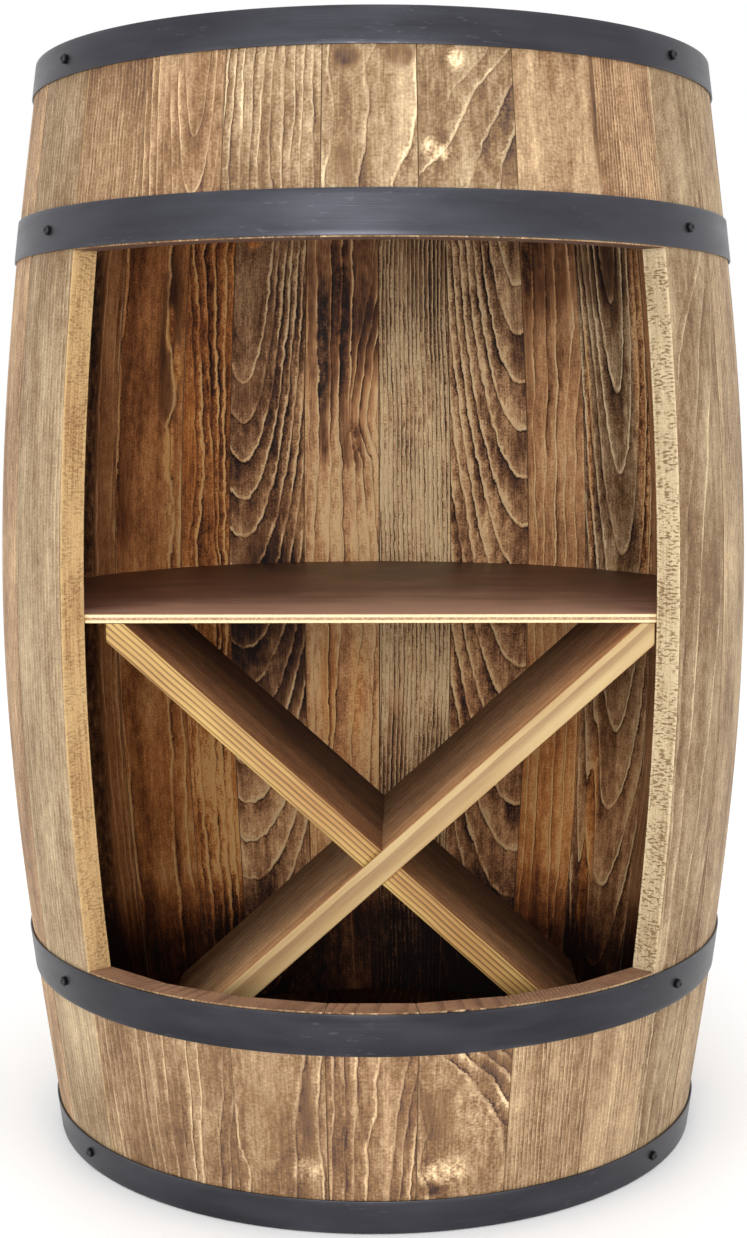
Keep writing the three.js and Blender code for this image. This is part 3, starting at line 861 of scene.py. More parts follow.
def stave(name, seed, sizes, materials, grooves):
    """One stave: its outer face is an arc of the cask's round, its inner face is flat, its sides are
    radial, and both bow with the height. Where it carries an end of the cask its inside is bevelled and
    grooved."""
    angle, half, low, high = span(name)
    middle = (low + high) / 2
    half = half + sizes.seam / 2 / bow(middle)
    edge = sizes.edge
    thickness = sizes.thickness
    heights = stave_heights(low, high, sizes.step, edge, grooves)
    ends = np.minimum(heights - low, high - heights)
    share = np.clip(1 - ends / edge, 0, 1)
    insets = 0.75 * edge * (1 - np.sqrt(1 - share ** 2))
    chime = np.zeros(len(heights))
    if low < CASK_ENDS[0]:
        chime = np.maximum(chime, sizes.chime - (heights - low))
    if high > CASK_ENDS[1]:
        chime = np.maximum(chime, sizes.chime - (high - heights))
    width = half * bow(middle)
    across = 2 * knots(STAVE_CELLS[0], edge / width / 2, 0.5) - 1
    through = knots(STAVE_CELLS[1], edge / thickness, 0.5)
    lift = np.random.default_rng(seed).uniform(*STAVE_LIFT) * MM

    def place(a, b, row, corner):
        height, inset = heights[row], insets[row]
        outer = bow(height) + lift
        inner = outer - thickness + chime[row]
        pull = eased(corner, edge)
        b = np.where(corner, np.where(b > 0.5, 1 - pull / thickness, pull / thickness), b)
        b = inset / thickness + b * (1 - 2 * inset / thickness)
        outer_half = half - (sizes.seam / 2 + inset + pull) / outer
        inner_half = half - (sizes.seam / 2 + inset + pull) / inner
        sag = STAVE_SAG * ripples(seed + 5, [a * 1.7, height * 21])
        u = (1 - b) * outer * np.sin(a * outer_half) + b * inner * a * np.sin(inner_half)
        w = (1 - b) * outer * np.cos(a * outer_half) + b * inner * np.cos(inner_half) + sag * (1 - 2 * b)
        for groove in grooves:
            off = np.abs(height - groove)
            mouth = bow(groove) - thickness + sizes.croze
            floor = mouth - np.maximum(off - sizes.croze_half, 0) / CROZE_SLOPE
            reach = np.hypot(u, w)
            cut = (reach < floor) & (off < CROZE_REACH)
            pushed = np.where(cut, floor + 0.01 * (reach - floor), reach)
            u, w = u * pushed / reach, w * pushed / reach
        return turned_about((u, w, height), angle)

    solid = block(place, across, through, len(heights))
    a, b, row = solid[2]
    height = heights[row] / MM
    thick = thickness / MM
    inside = name.startswith("wall") and name not in ("wall_stave_01", "wall_stave_18")
    shown = STAVES.get(name) or unseen_grain(seed, inside)
    other = unseen_grain(seed + 500, not inside)
    across_mm = a * width / MM * (-1 if inside else 1)
    depth = thick * ((1 - b) if inside else b)
    levels = WALL_LEVELS if inside else (low / MM, middle / MM, high / MM)
    values = grain_values(shown, other, seed, across_mm, depth, height, thick, levels)
    if inside:
        # painted shadow of the skirt darkens the wall's foot and softens its ridges
        foot = np.clip((FOOT_SHADE[0] - height) / FOOT_SHADE[1], 0, 1) * nearness(depth, thick)
        values["tone"] -= 0.70 * foot
        values["ridges"] *= 1 - 0.6 * foot
    values["rim"] = np.minimum(b, 1 - b) * thickness / MM
    values["shade"] = (height < END_SHADE) * float(name.startswith("lintel"))
    return sectioned_piece(name, seed, solid, len(heights), height * MM, materials, values)


# Hoops and screws

def strap_section(low, high, foot, crown, thickness, edge):
    """The strap's section walked once round: up its inside, over its top edge, down its outside and
    back under. Returns radius, height, and how near each point is to a long outer edge."""
    width = high - low
    run = np.linspace(edge, width - edge, STRAP_RUN)
    bend = np.linspace(0, math.pi / 2, 4)[1:-1]
    rise, fall = edge * np.sin(bend), edge * np.cos(bend)
    walk = (
        (run, 0 * run),
        (width - edge + rise, edge - fall),
        ([width, width], [edge, thickness - edge]),
        (width - edge + fall, thickness - edge + rise),
        (run[::-1], 0 * run + thickness),
        (edge - rise, thickness - edge + fall),
        ([0, 0], [thickness - edge, edge]),
        (edge - fall, edge - rise),
    )
    along, out = (np.concatenate(column) for column in zip(*walk))
    slope = (crown - foot) / width
    return foot + slope * along + out, low + along, edge_wear(np.minimum(along, width - along))


def edge_wear(distance):
    """1 at a strap's edge, falling to 0 where the worn strip ends."""
    return np.clip(1 - distance / STRAP_WEAR, 0, 1)


def hoop(name, sizes, material, seed, shade):
    """A strap bent into a cone round the staves, with its end lapped over its start and held by two
    rivets."""
    low, high = (corner[2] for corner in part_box(name))
    foot, crown = (bow(height) + sizes.gap for height in (low, high))
    thickness, edge = sizes.thickness, sizes.edge
    radius, height, near = strap_section(low, high, foot, crown, thickness, edge)
    count = sizes.segments
    angle = math.pi + np.arange(count) * 2 * math.pi / count
    uneven = STRAP_SAG * ripples(seed, [np.cos(angle) * 3, np.sin(angle) * 3])
    reach = radius + uneven[:, None]
    strap = (reach * np.sin(angle)[:, None], -reach * np.cos(angle)[:, None], height)
    points = np.stack(np.broadcast_arrays(*strap), -1).reshape(-1, 3)
    outline = np.concatenate([[0], np.cumsum(np.hypot(np.diff(radius), np.diff(height)))])
    u = np.repeat(np.arange(count), len(radius)) * 2 * math.pi / count * radius.mean()
    next_u = u + 2 * math.pi / count * radius.mean()
    offset = seed * 1.7
    v = np.tile(outline, count) + offset
    next_v = np.tile(np.append(outline[1:], outline[-1] + LAST_STEP), count) + offset
    around = np.stack([u, u, next_u, next_u], -1)
    corners = np.stack([around, np.stack([v, next_v, next_v, v], -1)], -1)
    faces = [quads_between(count, len(radius), wrap_rows=True)]
    parts = [(points, faces, [corners], np.tile(near, count))]

    middle = bow((low + high) / 2) + sizes.gap + thickness
    half = sizes.lap / 2 / middle
    turns = np.linspace(-half, half, LAP_ROWS)

    def place(a, b, row, corner):
        ease = eased(corner, edge)
        climb = low + (a + 1) / 2 * (high - low) - np.sign(a) * ease
        base = foot + (crown - foot) * (climb - low) / (high - low)
        out = base + (thickness * (1 + b) + np.where(b > 0.5, -1, 1) * ease)
        turn = math.pi + turns[row]
        return np.stack([out * np.sin(turn), -out * np.cos(turn), climb], -1)

    across = 2 * knots(LAP_CELLS[0], edge / (high - low), 0.5) - 1
    through = knots(LAP_CELLS[1], edge / thickness, 0.5)
    lap, faces, (a, b, row), _, walls = block(place, across, through, len(turns))
    corners = rim_map(lap, faces, walls, len(turns), turns[row] * middle, (3.0, offset))
    parts.append((lap, faces, corners, edge_wear((1 - np.abs(a)) * (high - low) / 2)))

    swell = np.linspace(0, math.pi / 2, 9)
    dome = np.stack([sizes.rivet_radius * np.cos(swell), sizes.rivet_height * np.sin(swell)], -1)
    rivet, faces = turned([(0, -RIVET_ROOT), (sizes.rivet_radius, -RIVET_ROOT), *dome], RIVET_SIDES)
    near = np.clip(1 - np.hypot(rivet[:, 0], rivet[:, 1]) / sizes.rivet_radius, 0, 1) * 0.8
    tilt = math.atan2(-(crown - foot), high - low)
    seat = middle + thickness
    for side in (-1, 1):
        turn = math.pi + side * sizes.rivet_spacing / 2 / middle
        outwards = (math.sin(turn) * math.cos(tilt), -math.cos(turn) * math.cos(tilt), math.sin(tilt))
        centre = np.array([seat * math.sin(turn), -seat * math.cos(turn), (low + high) / 2])
        parts.append((stood(rivet, outwards, centre), faces, flat_corners(rivet, faces), near))
    points, faces, corners, near = joined(parts)
    # shade: how light this hoop's coat is painted, as painted light and shade
    values = {"edge": near, "shade": 0 * near + shade}
    return piece(name, points, faces, corners, [material], values)


def screw(name, sizes, material):
    """A round-headed screw with a cross recess, on the axis of its CAD node: a profile turned on a fine
    grid, with the crown pressed in along two slots."""
    corners = node_points(name)
    centre = corners.mean(0)
    _, _, axes = np.linalg.svd(corners - centre, full_matrices=False)
    outwards = axes[0] * np.sign(axes[0] @ (centre * [1, 1, 0]))
    top = ((corners - centre) @ outwards).max()
    swell = np.linspace(0, math.pi / 2, 12)
    rim = sizes.head_radius - sizes.crown
    lip = sizes.head_height - sizes.rim_height
    profile = [(0, sizes.head_height)]
    profile += [(r, sizes.head_height) for r in np.linspace(0.05, 1, 14) * sizes.crown]
    profile += [(sizes.crown + rim * math.sin(s), sizes.rim_height + lip * math.cos(s)) for s in swell[1:]]
    profile += [(sizes.head_radius, SCREW_LIP), (sizes.head_radius - SCREW_LIP, 0), (sizes.shank, 0)]
    profile += [(sizes.shank, -sizes.length + SCREW_TIP), (0, -sizes.length)]
    points, faces = turned(profile, SCREW_SIDES)
    reach = np.hypot(points[:, 0], points[:, 1])
    spin = np.random.default_rng(len(name) + int(centre[2] * 1000)).uniform(0, math.pi / 2)
    x = points[:, 0] * math.cos(spin) + points[:, 1] * math.sin(spin)
    y = points[:, 1] * math.cos(spin) - points[:, 0] * math.sin(spin)
    slots = np.maximum(np.exp(-(x / SLOT) ** 4), np.exp(-(y / SLOT) ** 4))
    bowl = np.clip(1 - (reach / BOWL) ** 4, 0, 1)
    top_side = points[:, 2] > sizes.rim_height
    points[:, 2] -= np.where(top_side, SLOT_DEPTH * slots * bowl + BOWL_DEPTH * bowl ** 3, 0)
    placed = stood(points, outwards, centre + outwards * (top - sizes.head_height))
    return piece(name, placed, faces, flat_corners(points, faces), [material], None)


# Heads, shelf and crossed boards

def head_board(name, seed, sizes, materials, rim):
    """A board of a head: straight seams, a rim cut to the round, and both faces bevelled to a thin tip
    there."""
    low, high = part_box(name)
    middle, half = (low.z + high.z) / 2, (high.z - low.z) / 2
    left = max(low.x, -rim + 0.0004)
    right = min(high.x, rim - 0.0004)
    width = right - left
    edge = sizes.edge * 0.6
    across = 2 * knots(HEAD_CELLS[0], edge / width, 0.5) - 1
    through = knots(HEAD_CELLS[1], edge / 2 / half, 0.5)
    rows = np.linspace(-1, 1, HEAD_ROWS)
    rows = np.sign(rows) * (1 - (1 - np.abs(rows)) ** 1.25)

    def place(a, b, row, corner):
        ease = eased(corner, edge)
        x = left + (a + 1) / 2 * width - np.sign(a) * ease
        y = rows[row] * np.sqrt(rim ** 2 - x ** 2)
        level = np.minimum(half, sizes.tip / 2 + (rim - np.hypot(x, y)) * HEAD_BEVEL)
        return np.stack([x, y, middle + (level - ease) * (1 - 2 * b)], -1)

    solid = block(place, across, through, len(rows))
    points = solid[0]
    a, b, _ = solid[2]
    # the bottom head's low tone is painted shade deep inside the cask
    tone = 0.50 if name.startswith("top") else 0.12
    grain = unseen_grain(seed, True)._replace(tone=tone, warm=0.2, top=rim / MM + 90)
    depth = (middle + half - points[:, 2]) / MM
    along, levels = points[:, 1] / MM, (-200, 0, 200)
    values = grain_values(grain, grain, seed, a * width / 2 / MM, depth, along, 2 * half / MM, levels)
    values["rim"] = np.minimum(b, 1 - b) * 2 * half / MM
    return sectioned_piece(name, seed, solid, len(rows), points[:, 1], materials, values)


def shelf_piece(name, material):
    """The shelf: its outline shrunk towards the middle over both faces, with a rounded edge between
    them."""
    corners = node_points(name)
    low, high = corners[:, 2].min(), corners[:, 2].max()
    outline = np.unique(np.round(corners[corners[:, 2] > high - 1e-5][:, :2], 6), axis=0)
    centre = outline.mean(0)
    outline = outline[np.argsort(np.arctan2(*(outline - centre).T[::-1]))]
    after = np.roll(outline, -1, 0)
    steps = np.maximum(3, np.round(np.linalg.norm(after - outline, axis=1) / SHELF_STEP).astype(int))
    share = np.concatenate([np.arange(n) / n for n in steps])
    start, end = np.repeat(outline, steps, 0), np.repeat(after, steps, 0)
    rim = start + (end - start) * share[:, None]
    shrink = np.append(np.linspace(0.03, 0.97, SHELF_RINGS), 1)
    bend = np.linspace(0, math.pi / 2, 4)[1:]
    level = np.append(np.full(len(shrink), high), high - SHELF_EDGE * (1 - np.cos(bend)))
    scale = np.append(shrink, np.ones(len(bend)))
    out = np.append(np.full(len(shrink), -SHELF_EDGE), -SHELF_EDGE + SHELF_EDGE * np.sin(bend))
    level = np.append(level, low + high - level[::-1])
    scale, out = (np.append(half, half[::-1]) for half in (scale, out))
    towards = (rim - centre) / np.linalg.norm(rim - centre, axis=1)[:, None]
    ring = centre + (rim - centre) * scale[:, None, None] + towards * out[:, None, None]
    z = np.broadcast_to(level[:, None, None], (len(level), len(rim), 1))
    rings = np.concatenate([ring, z], -1).reshape(-1, 3)
    points, faces = closed_by_poles(rings, len(rim), (*centre, high), (*centre, low))
    on_edge = np.zeros(len(level))
    on_edge[len(shrink): -len(shrink)] = 1
    forward = 1 - (points[:, 1] - rim[:, 1].min()) / np.ptp(rim[:, 1])
    aside = points[:, 0] / rim[:, 0].max()
    values = {
        "edge": np.append(np.repeat(on_edge, len(rim)), [0, 0]),
        "level": np.append(np.repeat((level - low) / (high - low), len(rim)), [1, 0]),
        # front: painted light, brightest at the front middle and shaded towards the back and the sides
        "front": forward ** 2 * (1 - 0.5 * aside ** 2) - 0.03 * aside,
    }
    return piece(name, points, faces, flat_corners(points, faces), [material], values)


def crossing(sizes):
    """Where the crossed boards' middle lines meet, from the feet of the two boards."""
    slope = math.tan(sizes.angle)
    rise = sizes.thickness / 2 / math.cos(sizes.angle)
    front_low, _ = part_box("cross_board_front")
    rear_low, rear_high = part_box("cross_board_rear")
    up_left = front_low.z + rise - slope * front_low.x
    up_right = rear_low.z + rise + slope * rear_high.x
    return (up_right - up_left) / (2 * slope), (up_right + up_left) / 2


def cross_board(name, side, seed, sizes, materials, grain):
    """A crossed board: its section carried along its slope between the planes that cut its ends, with
    half its depth missing where the other board passes."""
    low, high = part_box(name)
    middle_x, middle_z = crossing(sizes)
    cosine, sine = math.cos(sizes.angle), math.sin(sizes.angle)
    along = np.array([cosine, side * sine])
    normal = np.array([-side * sine, cosine])
    half = sizes.thickness / 2
    edge = sizes.edge
    kink_x = high.x if side > 0 else low.x
    kink = ((high.z - middle_z) - side * (kink_x - middle_x) * sine / cosine) * cosine

    def stations(t):
        """How far along the board its four cutting lines lie, at a height t over its middle plane."""
        left = (low.x - middle_x - t * normal[0]) / along[0]
        right = (high.x - middle_x - t * normal[0]) / along[0]
        top = (high.z - middle_z - t * normal[1]) / along[1]
        gap = (half + sizes.gap) / math.sin(2 * sizes.angle)
        lean = side * t * math.cos(2 * sizes.angle) / math.sin(2 * sizes.angle)
        if side > 0:
            return np.stack([left, -gap - lean, gap - lean, np.minimum(right, top)])
        return np.stack([np.maximum(left, top), -gap - lean, gap - lean, right])

    runs = np.abs(stations(0.0))[[0, 3]]
    left, right = (np.linspace(0, 1, round(run / BOARD_STEP) + 1) for run in runs)
    close = CLOSE_ROWS * edge
    left = np.append(close / runs[0], left[1:])
    right = np.append(right[:-1], 1 - close[::-1] / runs[1])
    parts = [left, np.linspace(0, 1, HALVED_ROWS), right]
    line = np.repeat(np.arange(3), [len(part) for part in parts])
    share = np.concatenate(parts)
    passing = line == 1
    distances = [share * runs[0], edge, (1 - share) * runs[1]]
    ends = 1 - np.choose(line, distances) / edge
    inset = 0.7 * edge * (1 - np.sqrt(1 - np.clip(ends, 0, 1) ** 2))
    kink_share = 0.5 - kink / sizes.thickness
    if not 0.12 < kink_share < 0.88:
        kink_share = 0.5
    through = knots(BOARD_CELLS[1], edge / sizes.thickness, kink_share)
    depth = high.y - low.y
    across = 2 * knots(BOARD_CELLS[0], edge / depth, 0.5) - 1
    halved = (depth - sizes.gap) / 2

    def place(a, b, row, corner):
        ease = eased(corner, edge) + inset[row]
        t = (half - ease) * (1 - 2 * b)
        front = np.where(passing[row] & (side < 0), low.y + depth - halved, low.y)
        back = np.where(passing[row] & (side > 0), low.y + halved, high.y)
        y = front + ease + (a + 1) / 2 * (back - front - 2 * ease)
        lines = stations(t)
        at = np.arange(len(t))
        near, far = lines[line[row], at], lines[line[row] + 1, at]
        nudge = np.where(passing[row], NUDGE * (1 - 2 * share[row]), 0)
        s = near + (far - near) * share[row] + nudge
        x = middle_x + s * along[0] + t * normal[0]
        z = middle_z + s * along[1] + t * normal[1]
        return np.stack([x, y, z], -1)

    solid = block(place, across, through, len(line))
    points = solid[0]
    a, b, _ = solid[2]
    length = (points[:, 0] - middle_x) * along[0] + (points[:, 2] - middle_z) * along[1]
    heart_y, heart_t, pitch = grain
    bend = 2.0 * ripples(seed, [length * 16], 5) + 0.5 * ripples(seed + 1, [length * 60], 4)
    rings_across = (points[:, 1] - low.y) / MM - heart_y + bend
    rings_through = (1 - 2 * b) * half / MM - heart_t + 0.25 * bend
    fade = np.clip((points[:, 1] - low.y) / depth, 0, 1)
    ones = np.ones(len(points))
    values = {
        "rings": np.hypot(rings_across, rings_through) / pitch,
        "slim": 0.3 * ones,
        # darker towards the back of the cabinet: painted shade
        "tone": (0.70 if side > 0 else 0.50) - 0.32 * fade,
        "stain": 0 * ones,
        "warm": 0.3 + 0.3 * (1 - fade) ** 3,
        "relief": 0.4 * ones,
        "ridges": 0.16 * ones,
    }
    return sectioned_piece(name, seed, solid, len(line), length, materials, values)


# What a user can change

def length(name, description, default):
    """A length that the sidebar shows in the scene's units."""
    details = {"name": name, "description": description, "default": default}
    return bpy.props.FloatProperty(unit="LENGTH", precision=4, **details)


def turn(name, description, degrees):
    """An angle, given in degrees."""
    return bpy.props.FloatProperty(
        name=name, description=description, default=math.radians(degrees), subtype="ANGLE"
    )


def power(name, description, watts):
    """The power of a light."""
    return bpy.props.FloatProperty(name=name, description=description, default=watts, unit="POWER")


def colour(name, description, seen):
    """A colour, given as it is seen."""
    return bpy.props.FloatVectorProperty(
        name=name, description=description, default=paint(*seen), subtype="COLOR", size=3, min=0, max=1
    )


class CaskSizes(bpy.types.PropertyGroup):
    """Sizes of the staves and heads that the CAD model leaves to the finish."""

    thickness: length("Stave thickness", "Thickness of every stave", 0.019)
    seam: length("Seam", "Gap between neighbouring staves", 0.0003)
    edge: length("Edge", "Rounding of the staves' edges", 0.0007)
    step: length("Row step", "Distance between rows of points up a stave", 0.0034)
    chime: length("Chime bevel", "Bevel inside the ends of the staves", 0.003)
    croze: length("Croze depth", "Depth of the groove that holds a head", 0.004)
    croze_half: length("Croze floor", "Half the height of the groove's floor", 0.0018)
    tip: length("Head tip", "Thickness of a head at its rim", 0.003)


class HoopSizes(bpy.types.PropertyGroup):
    """Sizes of the hoops, their laps and rivets."""

    thickness: length("Strap thickness", "Thickness of the steel strap", 0.0015)
    gap: length("Hoop gap", "Gap between hoop and staves", 0.0004)
    edge: length("Strap edge", "Rounding of the strap's edges", 0.0004)
    lap: length("Lap", "Length of the lap at the back", 0.042)
    rivet_radius: length("Rivet radius", "Radius of a rivet's dome", 0.0045)
    rivet_height: length("Rivet height", "Height of a rivet's dome", 0.002)
    rivet_spacing: length("Rivet spacing", "Distance between the two rivets", 0.020)
    segments: bpy.props.IntProperty(
        name="Segments", description="Points round a hoop", default=360, min=24
    )


class ScrewSizes(bpy.types.PropertyGroup):
    """Sizes of the screws beside the opening."""

    head_radius: length("Head radius", "Radius of the head", 0.0034)
    head_height: length("Head height", "Height of the head", 0.0024)
    rim_height: length("Rim height", "Height of the head's straight rim", 0.0012)
    crown: length("Crown", "Radius of the flat on the head", 0.0024)
    shank: length("Shank", "Radius of the shank", 0.00175)
    length: length("Length", "Length of the shank", 0.0137)


class BoardSizes(bpy.types.PropertyGroup):
    """Sizes of the crossed boards."""

    thickness: length("Board thickness", "Thickness of the crossed boards", 0.0175)
    gap: length("Halving gap", "Gap in the halved joint", 0.0003)
    edge: length("Edge", "Rounding of the boards' edges", 0.0008)
    angle: turn("Slope", "Slope of the boards", 42)


class Looks(bpy.types.PropertyGroup):
    """Colours and finishes of the wood and the steel."""

    soot: colour("Soot", "Darkest stain", (28, 19, 16))
    umber: colour("Umber", "Dark stain in the grooves", (72, 50, 40))
    brown: colour("Brown", "Middle brown of the stain", (121, 94, 63))
    tan: colour("Tan", "Tan of the outer staves", (164, 143, 112))
    golden: colour("Golden", "Raised late rings", (202, 180, 142))
    pale: colour("Pale", "Brightest rings", (236, 218, 180))
    warm_soot: colour("Warm soot", "Darkest reddish stain", (30, 14, 8))
    warm_umber: colour("Warm umber", "Dark reddish stain", (84, 42, 20))
    warm_brown: colour("Warm brown", "Reddish brown of the inside", (146, 84, 42))
    warm_orange: colour("Warm orange", "Orange streaks", (206, 130, 66))
    warm_pale: colour("Warm pale", "Brightest orange", (236, 180, 112))
    sawn_light: colour("Sawn light", "Fresh sawn side", (198, 178, 142))
    sawn_dark: colour("Sawn dark", "Darker sawn wood and saw marks", (130, 102, 66))
    side_light: colour("Left side light", "Sawn side on the left", (190, 156, 106))
    side_dark: colour("Left side dark", "Rings of the sawn side on the left", (128, 84, 42))
    steel_dark: colour("Steel dark", "Coat of the hoops", (50, 50, 55))
    steel_light: colour("Steel light", "Lighter clouds in the coat", (74, 74, 81))
    steel_worn: colour("Steel worn", "Worn edges and scuffs", (104, 104, 108))
    steel_roughness: bpy.props.FloatProperty(
        name="Steel roughness", description="Roughness of the hoops' coat", default=0.38, min=0, max=1
    )
    brush_depth: length("Brush depth", "Depth of the wire-brushed grain", 0.0007)


class StageSettings(bpy.types.PropertyGroup):
    """The camera, the lights and the floor."""

    camera_place: bpy.props.FloatVectorProperty(
        name="Camera",
        description="Where the camera stands",
        default=(0.0197, -1.4116, 0.5499),
        unit="LENGTH",
    )
    lens: bpy.props.FloatProperty(name="Lens", description="Focal length in millimetres", default=52.82)
    heading: turn("Heading", "Turn to the left of straight ahead", 0.8)
    pitch: turn("Pitch", "How far the camera looks down", 6.57)
    roll: turn("Roll", "Tilt of the picture", -0.15)
    key: power("Key light", "Power of the key light", 2.0)
    front: power("Front light", "Power of the front light", 45.0)
    top: power("Top light", "Power of the light above", 16.0)
    sky: bpy.props.FloatProperty(
        name="Room light", description="Strength of the room's light", default=1.0
    )
    floor: colour("Floor", "Colour of the floor", (255, 255, 255))


# Operators

class CABINET_OT_staves(bpy.types.Operator):
    """Build the staves of the wall, the skirt and the band over the opening"""

    bl_idname = "cabinet.staves"
    bl_label = "Staves"

    def execute(self, context):
        sizes, looks = context.scene.cask_sizes, context.scene.cabinet_looks
        face = stained_wood("stave_face", looks)
        end = end_wood("stave_end", looks, paint(160, 118, 86), paint(92, 60, 42))
        right = sawn_wood("stave_side_pale", looks, looks.sawn_light, looks.sawn_dark, 0.75)
        left = sawn_wood("stave_side_tan", looks, looks.side_light, looks.side_dark, 0.2, 0.4)
        inner = sawn_wood("stave_side_dark", looks, paint(112, 82, 56), paint(64, 42, 28))
        outer = sawn_wood("stave_side_brown", looks, paint(150, 122, 88), paint(112, 84, 56))
        middles = [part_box(f"{head}_head_board_3") for head in ("top", "bottom")]
        grooves = [(low.z + high.z) / 2 for low, high in middles]
        for seed, name in enumerate(nodes_with("wall_") + nodes_with("skirt_") + nodes_with("lintel_")):
            seam = inner if name.startswith("wall") else outer
            side = {"wall_stave_18": left, "wall_stave_01": right}.get(name, seam)
            stave(name, 40 + 11 * seed, sizes, [face, side, end], grooves)
        return {"FINISHED"}


class CABINET_OT_heads(bpy.types.Operator):
    """Build the boards of the two heads"""

    bl_idname = "cabinet.heads"
    bl_label = "Heads"

    def execute(self, context):
        sizes, looks = context.scene.cask_sizes, context.scene.cabinet_looks
        face = stained_wood("head_face", looks)
        side = sawn_wood("head_side", looks, looks.tan, looks.brown)
        end = end_wood("head_end", looks, looks.tan, looks.umber)
        for prefix in ("top_head", "bottom_head"):
            names = nodes_with(prefix)
            rim = max(np.hypot(*node_points(name)[:, :2].T).max() for name in names)
            for seed, name in enumerate(names):
                head_board(name, len(prefix) * 31 + seed * 7, sizes, [face, side, end], rim)
        return {"FINISHED"}


class CABINET_OT_hoops(bpy.types.Operator):
    """Build the four hoops with their laps and rivets"""

    bl_idname = "cabinet.hoops"
    bl_label = "Hoops"

    def execute(self, context):
        material = hoop_steel(context.scene.cabinet_looks)
        # how light each hoop's coat is painted: painted light and shade
        painted_hoop_light = {"hoop_base": 0.45, "hoop_lower": 0.15, "hoop_upper": 0.75, "hoop_top": 0.5}
        for seed, (name, shade) in enumerate(painted_hoop_light.items()):
            hoop(name, context.scene.hoop_sizes, material, seed + 3, shade)
        return {"FINISHED"}


class CABINET_OT_screws(bpy.types.Operator):
    """Build the screws through the hoops"""

    bl_idname = "cabinet.screws"
    bl_label = "Screws"

    def execute(self, context):
        material = screw_black()
        for name in nodes_with("hoop_"):
            if "_screw_" in name:
                screw(name, context.scene.screw_sizes, material)
        return {"FINISHED"}


class CABINET_OT_shelf(bpy.types.Operator):
    """Build the plywood shelf"""

    bl_idname = "cabinet.shelf"
    bl_label = "Shelf"

    def execute(self, context):
        shelf_piece("shelf", shelf_finish())
        return {"FINISHED"}


class CABINET_OT_boards(bpy.types.Operator):
    """Build the crossed boards"""

    bl_idname = "cabinet.boards"
    bl_label = "Crossed boards"

    def execute(self, context):
        sizes, looks = context.scene.board_sizes, context.scene.cabinet_looks
        face = stained_wood("cross_face", looks)
        end = end_wood("cross_end", looks, looks.tan, looks.umber)
        lined = ((186, 154, 86), (104, 68, 28), (160, 116, 56))
        clear = ((178, 152, 104), (136, 102, 62), (160, 128, 80))
        lined = edge_pine("cross_edge_lined", looks, *(paint(*seen) for seen in lined))
        clear = edge_pine("cross_edge_clear", looks, *(paint(*seen) for seen in clear))
        cross_board("cross_board_front", 1, 71, sizes, [face, clear, end], (-14.0, -17.0, 13.0))
        cross_board("cross_board_rear", -1, 83, sizes, [face, lined, end], (40.0, -66.0, 3.1))
        return {"FINISHED"}


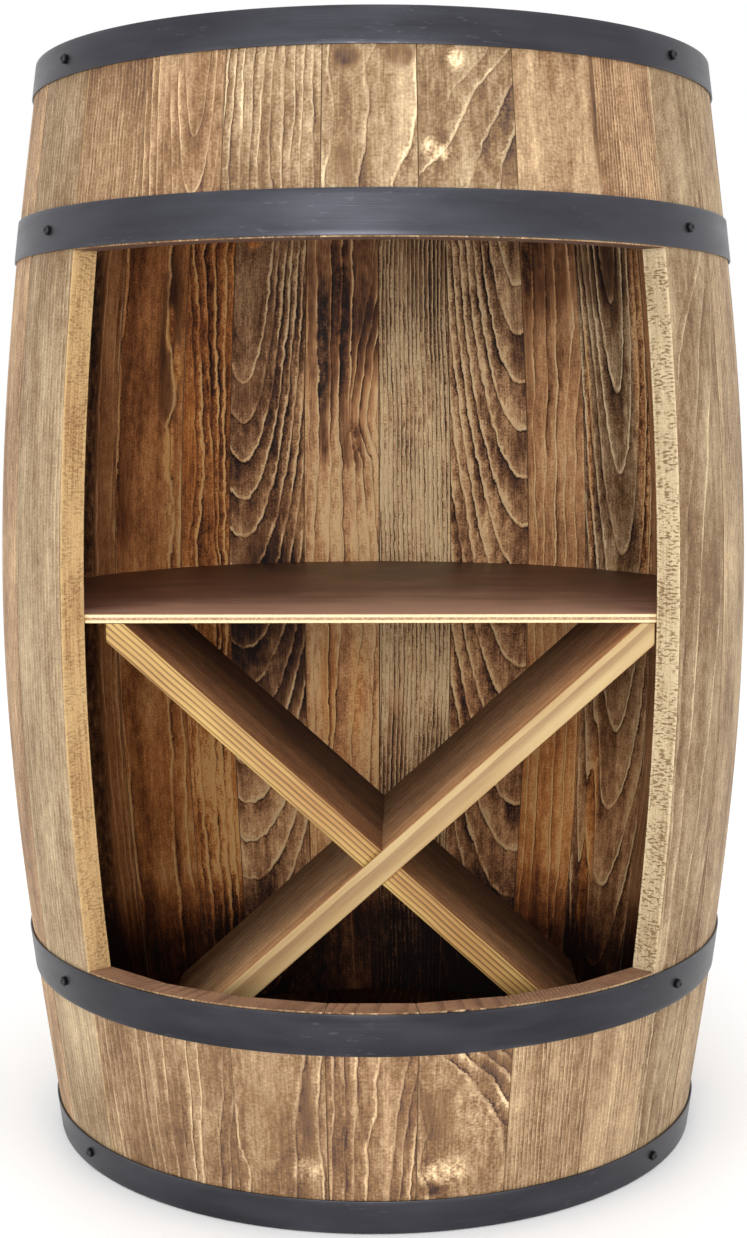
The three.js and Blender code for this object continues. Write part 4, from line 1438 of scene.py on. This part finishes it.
class CABINET_OT_stage(bpy.types.Operator):
    """Set out the floor, the lights and the camera"""

    bl_idname = "cabinet.stage"
    bl_label = "Stage"

    def execute(self, context):
        scene = context.scene
        settings = scene.stage_settings
        self.floor(scene, settings)
        self.lights(scene, settings)
        data = bpy.data.cameras.new("camera")
        data.lens = settings.lens
        data.sensor_width = 36
        data.sensor_fit = "AUTO"
        camera = bpy.data.objects.new("camera", data)
        scene.collection.objects.link(camera)
        heading = Matrix.Rotation(settings.heading, 4, "Z")
        pitch = Matrix.Rotation(math.pi / 2 - settings.pitch, 4, "X")
        roll = Matrix.Rotation(settings.roll, 4, "Z")
        camera.matrix_world = Matrix.Translation(settings.camera_place) @ heading @ pitch @ roll
        scene.camera = camera
        return {"FINISHED"}

    def floor(self, scene, settings):
        """A wide round slab whose top is the ground."""
        points, faces = turned([(0, 0), (1, 0), (3, 0), (7, 0), (12, 0), (12, -0.05), (0, -0.05)], 96)
        mesh = bpy.data.meshes.new("floor")
        mesh.from_pydata(points.tolist(), [], [row for group in faces for row in group.tolist()])
        pale = Finish("floor", flat=False)
        cloud = pale.swing(3, 3, 3)
        mesh.materials.append(pale.surface(Base_Color=settings.floor, Roughness=0.55 + 0.1 * cloud))
        made = bpy.data.objects.new("floor", mesh)
        scene.collection.objects.link(made)

    def lights(self, scene, settings):
        """A white room with a soft key from the front left, a broad light that reaches into the
        opening, and one from above that evens out the floor."""
        room = bpy.data.worlds.new("room")
        room.use_nodes = True
        background = room.node_tree.nodes["Background"]
        background.inputs["Color"].default_value = (1, 1, 1, 1)
        background.inputs["Strength"].default_value = settings.sky
        scene.world = room
        scene.view_settings.view_transform = "Standard"
        middle = (0, 0, 0.45)
        places = (
            ("key", (-1.3, -2.4, 1.7), middle, 1.2, 1.2, settings.key),
            ("front", (-0.25, -2.9, 0.70), middle, 1.3, 0.9, settings.front),
            ("top", (0, -0.7, 2.6), (0, -0.69, 0), 2.4, 2.4, settings.top),
        )
        for name, place, aim, wide, tall, energy in places:
            data = bpy.data.lights.new(name, "AREA")
            data.shape = "RECTANGLE"
            data.size = wide
            data.size_y = tall
            data.energy = energy
            light = bpy.data.objects.new(name, data)
            scene.collection.objects.link(light)
            light.location = place
            light.rotation_euler = (Vector(aim) - Vector(place)).to_track_quat("-Z", "Y").to_euler()


GROUPS = {
    "cask_sizes": CaskSizes,
    "hoop_sizes": HoopSizes,
    "screw_sizes": ScrewSizes,
    "board_sizes": BoardSizes,
    "cabinet_looks": Looks,
    "stage_settings": StageSettings,
}
STEPS = ("staves", "heads", "hoops", "screws", "shelf", "boards", "stage")


class CABINET_PT_panel(bpy.types.Panel):
    """Lists the cabinet's pieces and the sizes and colours that can be changed"""

    bl_idname = "CABINET_PT_panel"
    bl_label = "Barrel bar cabinet"
    bl_space_type = "VIEW_3D"
    bl_region_type = "UI"
    bl_category = "Cabinet"

    def draw(self, context):
        for step in STEPS:
            self.layout.operator(f"cabinet.{step}")
        for group, kind in GROUPS.items():
            box = self.layout.box()
            for key in kind.__annotations__:
                box.prop(getattr(context.scene, group), key)


CLASSES = (
    *GROUPS.values(),
    CABINET_OT_staves,
    CABINET_OT_heads,
    CABINET_OT_hoops,
    CABINET_OT_screws,
    CABINET_OT_shelf,
    CABINET_OT_boards,
    CABINET_OT_stage,
    CABINET_PT_panel,
)


def register():
    for kind in CLASSES:
        bpy.utils.register_class(kind)
    for group, kind in GROUPS.items():
        setattr(bpy.types.Scene, group, bpy.props.PointerProperty(type=kind))


def unregister():
    for group in GROUPS:
        delattr(bpy.types.Scene, group)
    for kind in reversed(CLASSES):
        bpy.utils.unregister_class(kind)


def main():
    """Builds every piece and the stage."""
    register()
    for step in STEPS:
        getattr(bpy.ops.cabinet, step)()


if __name__ == "__main__":
    main()
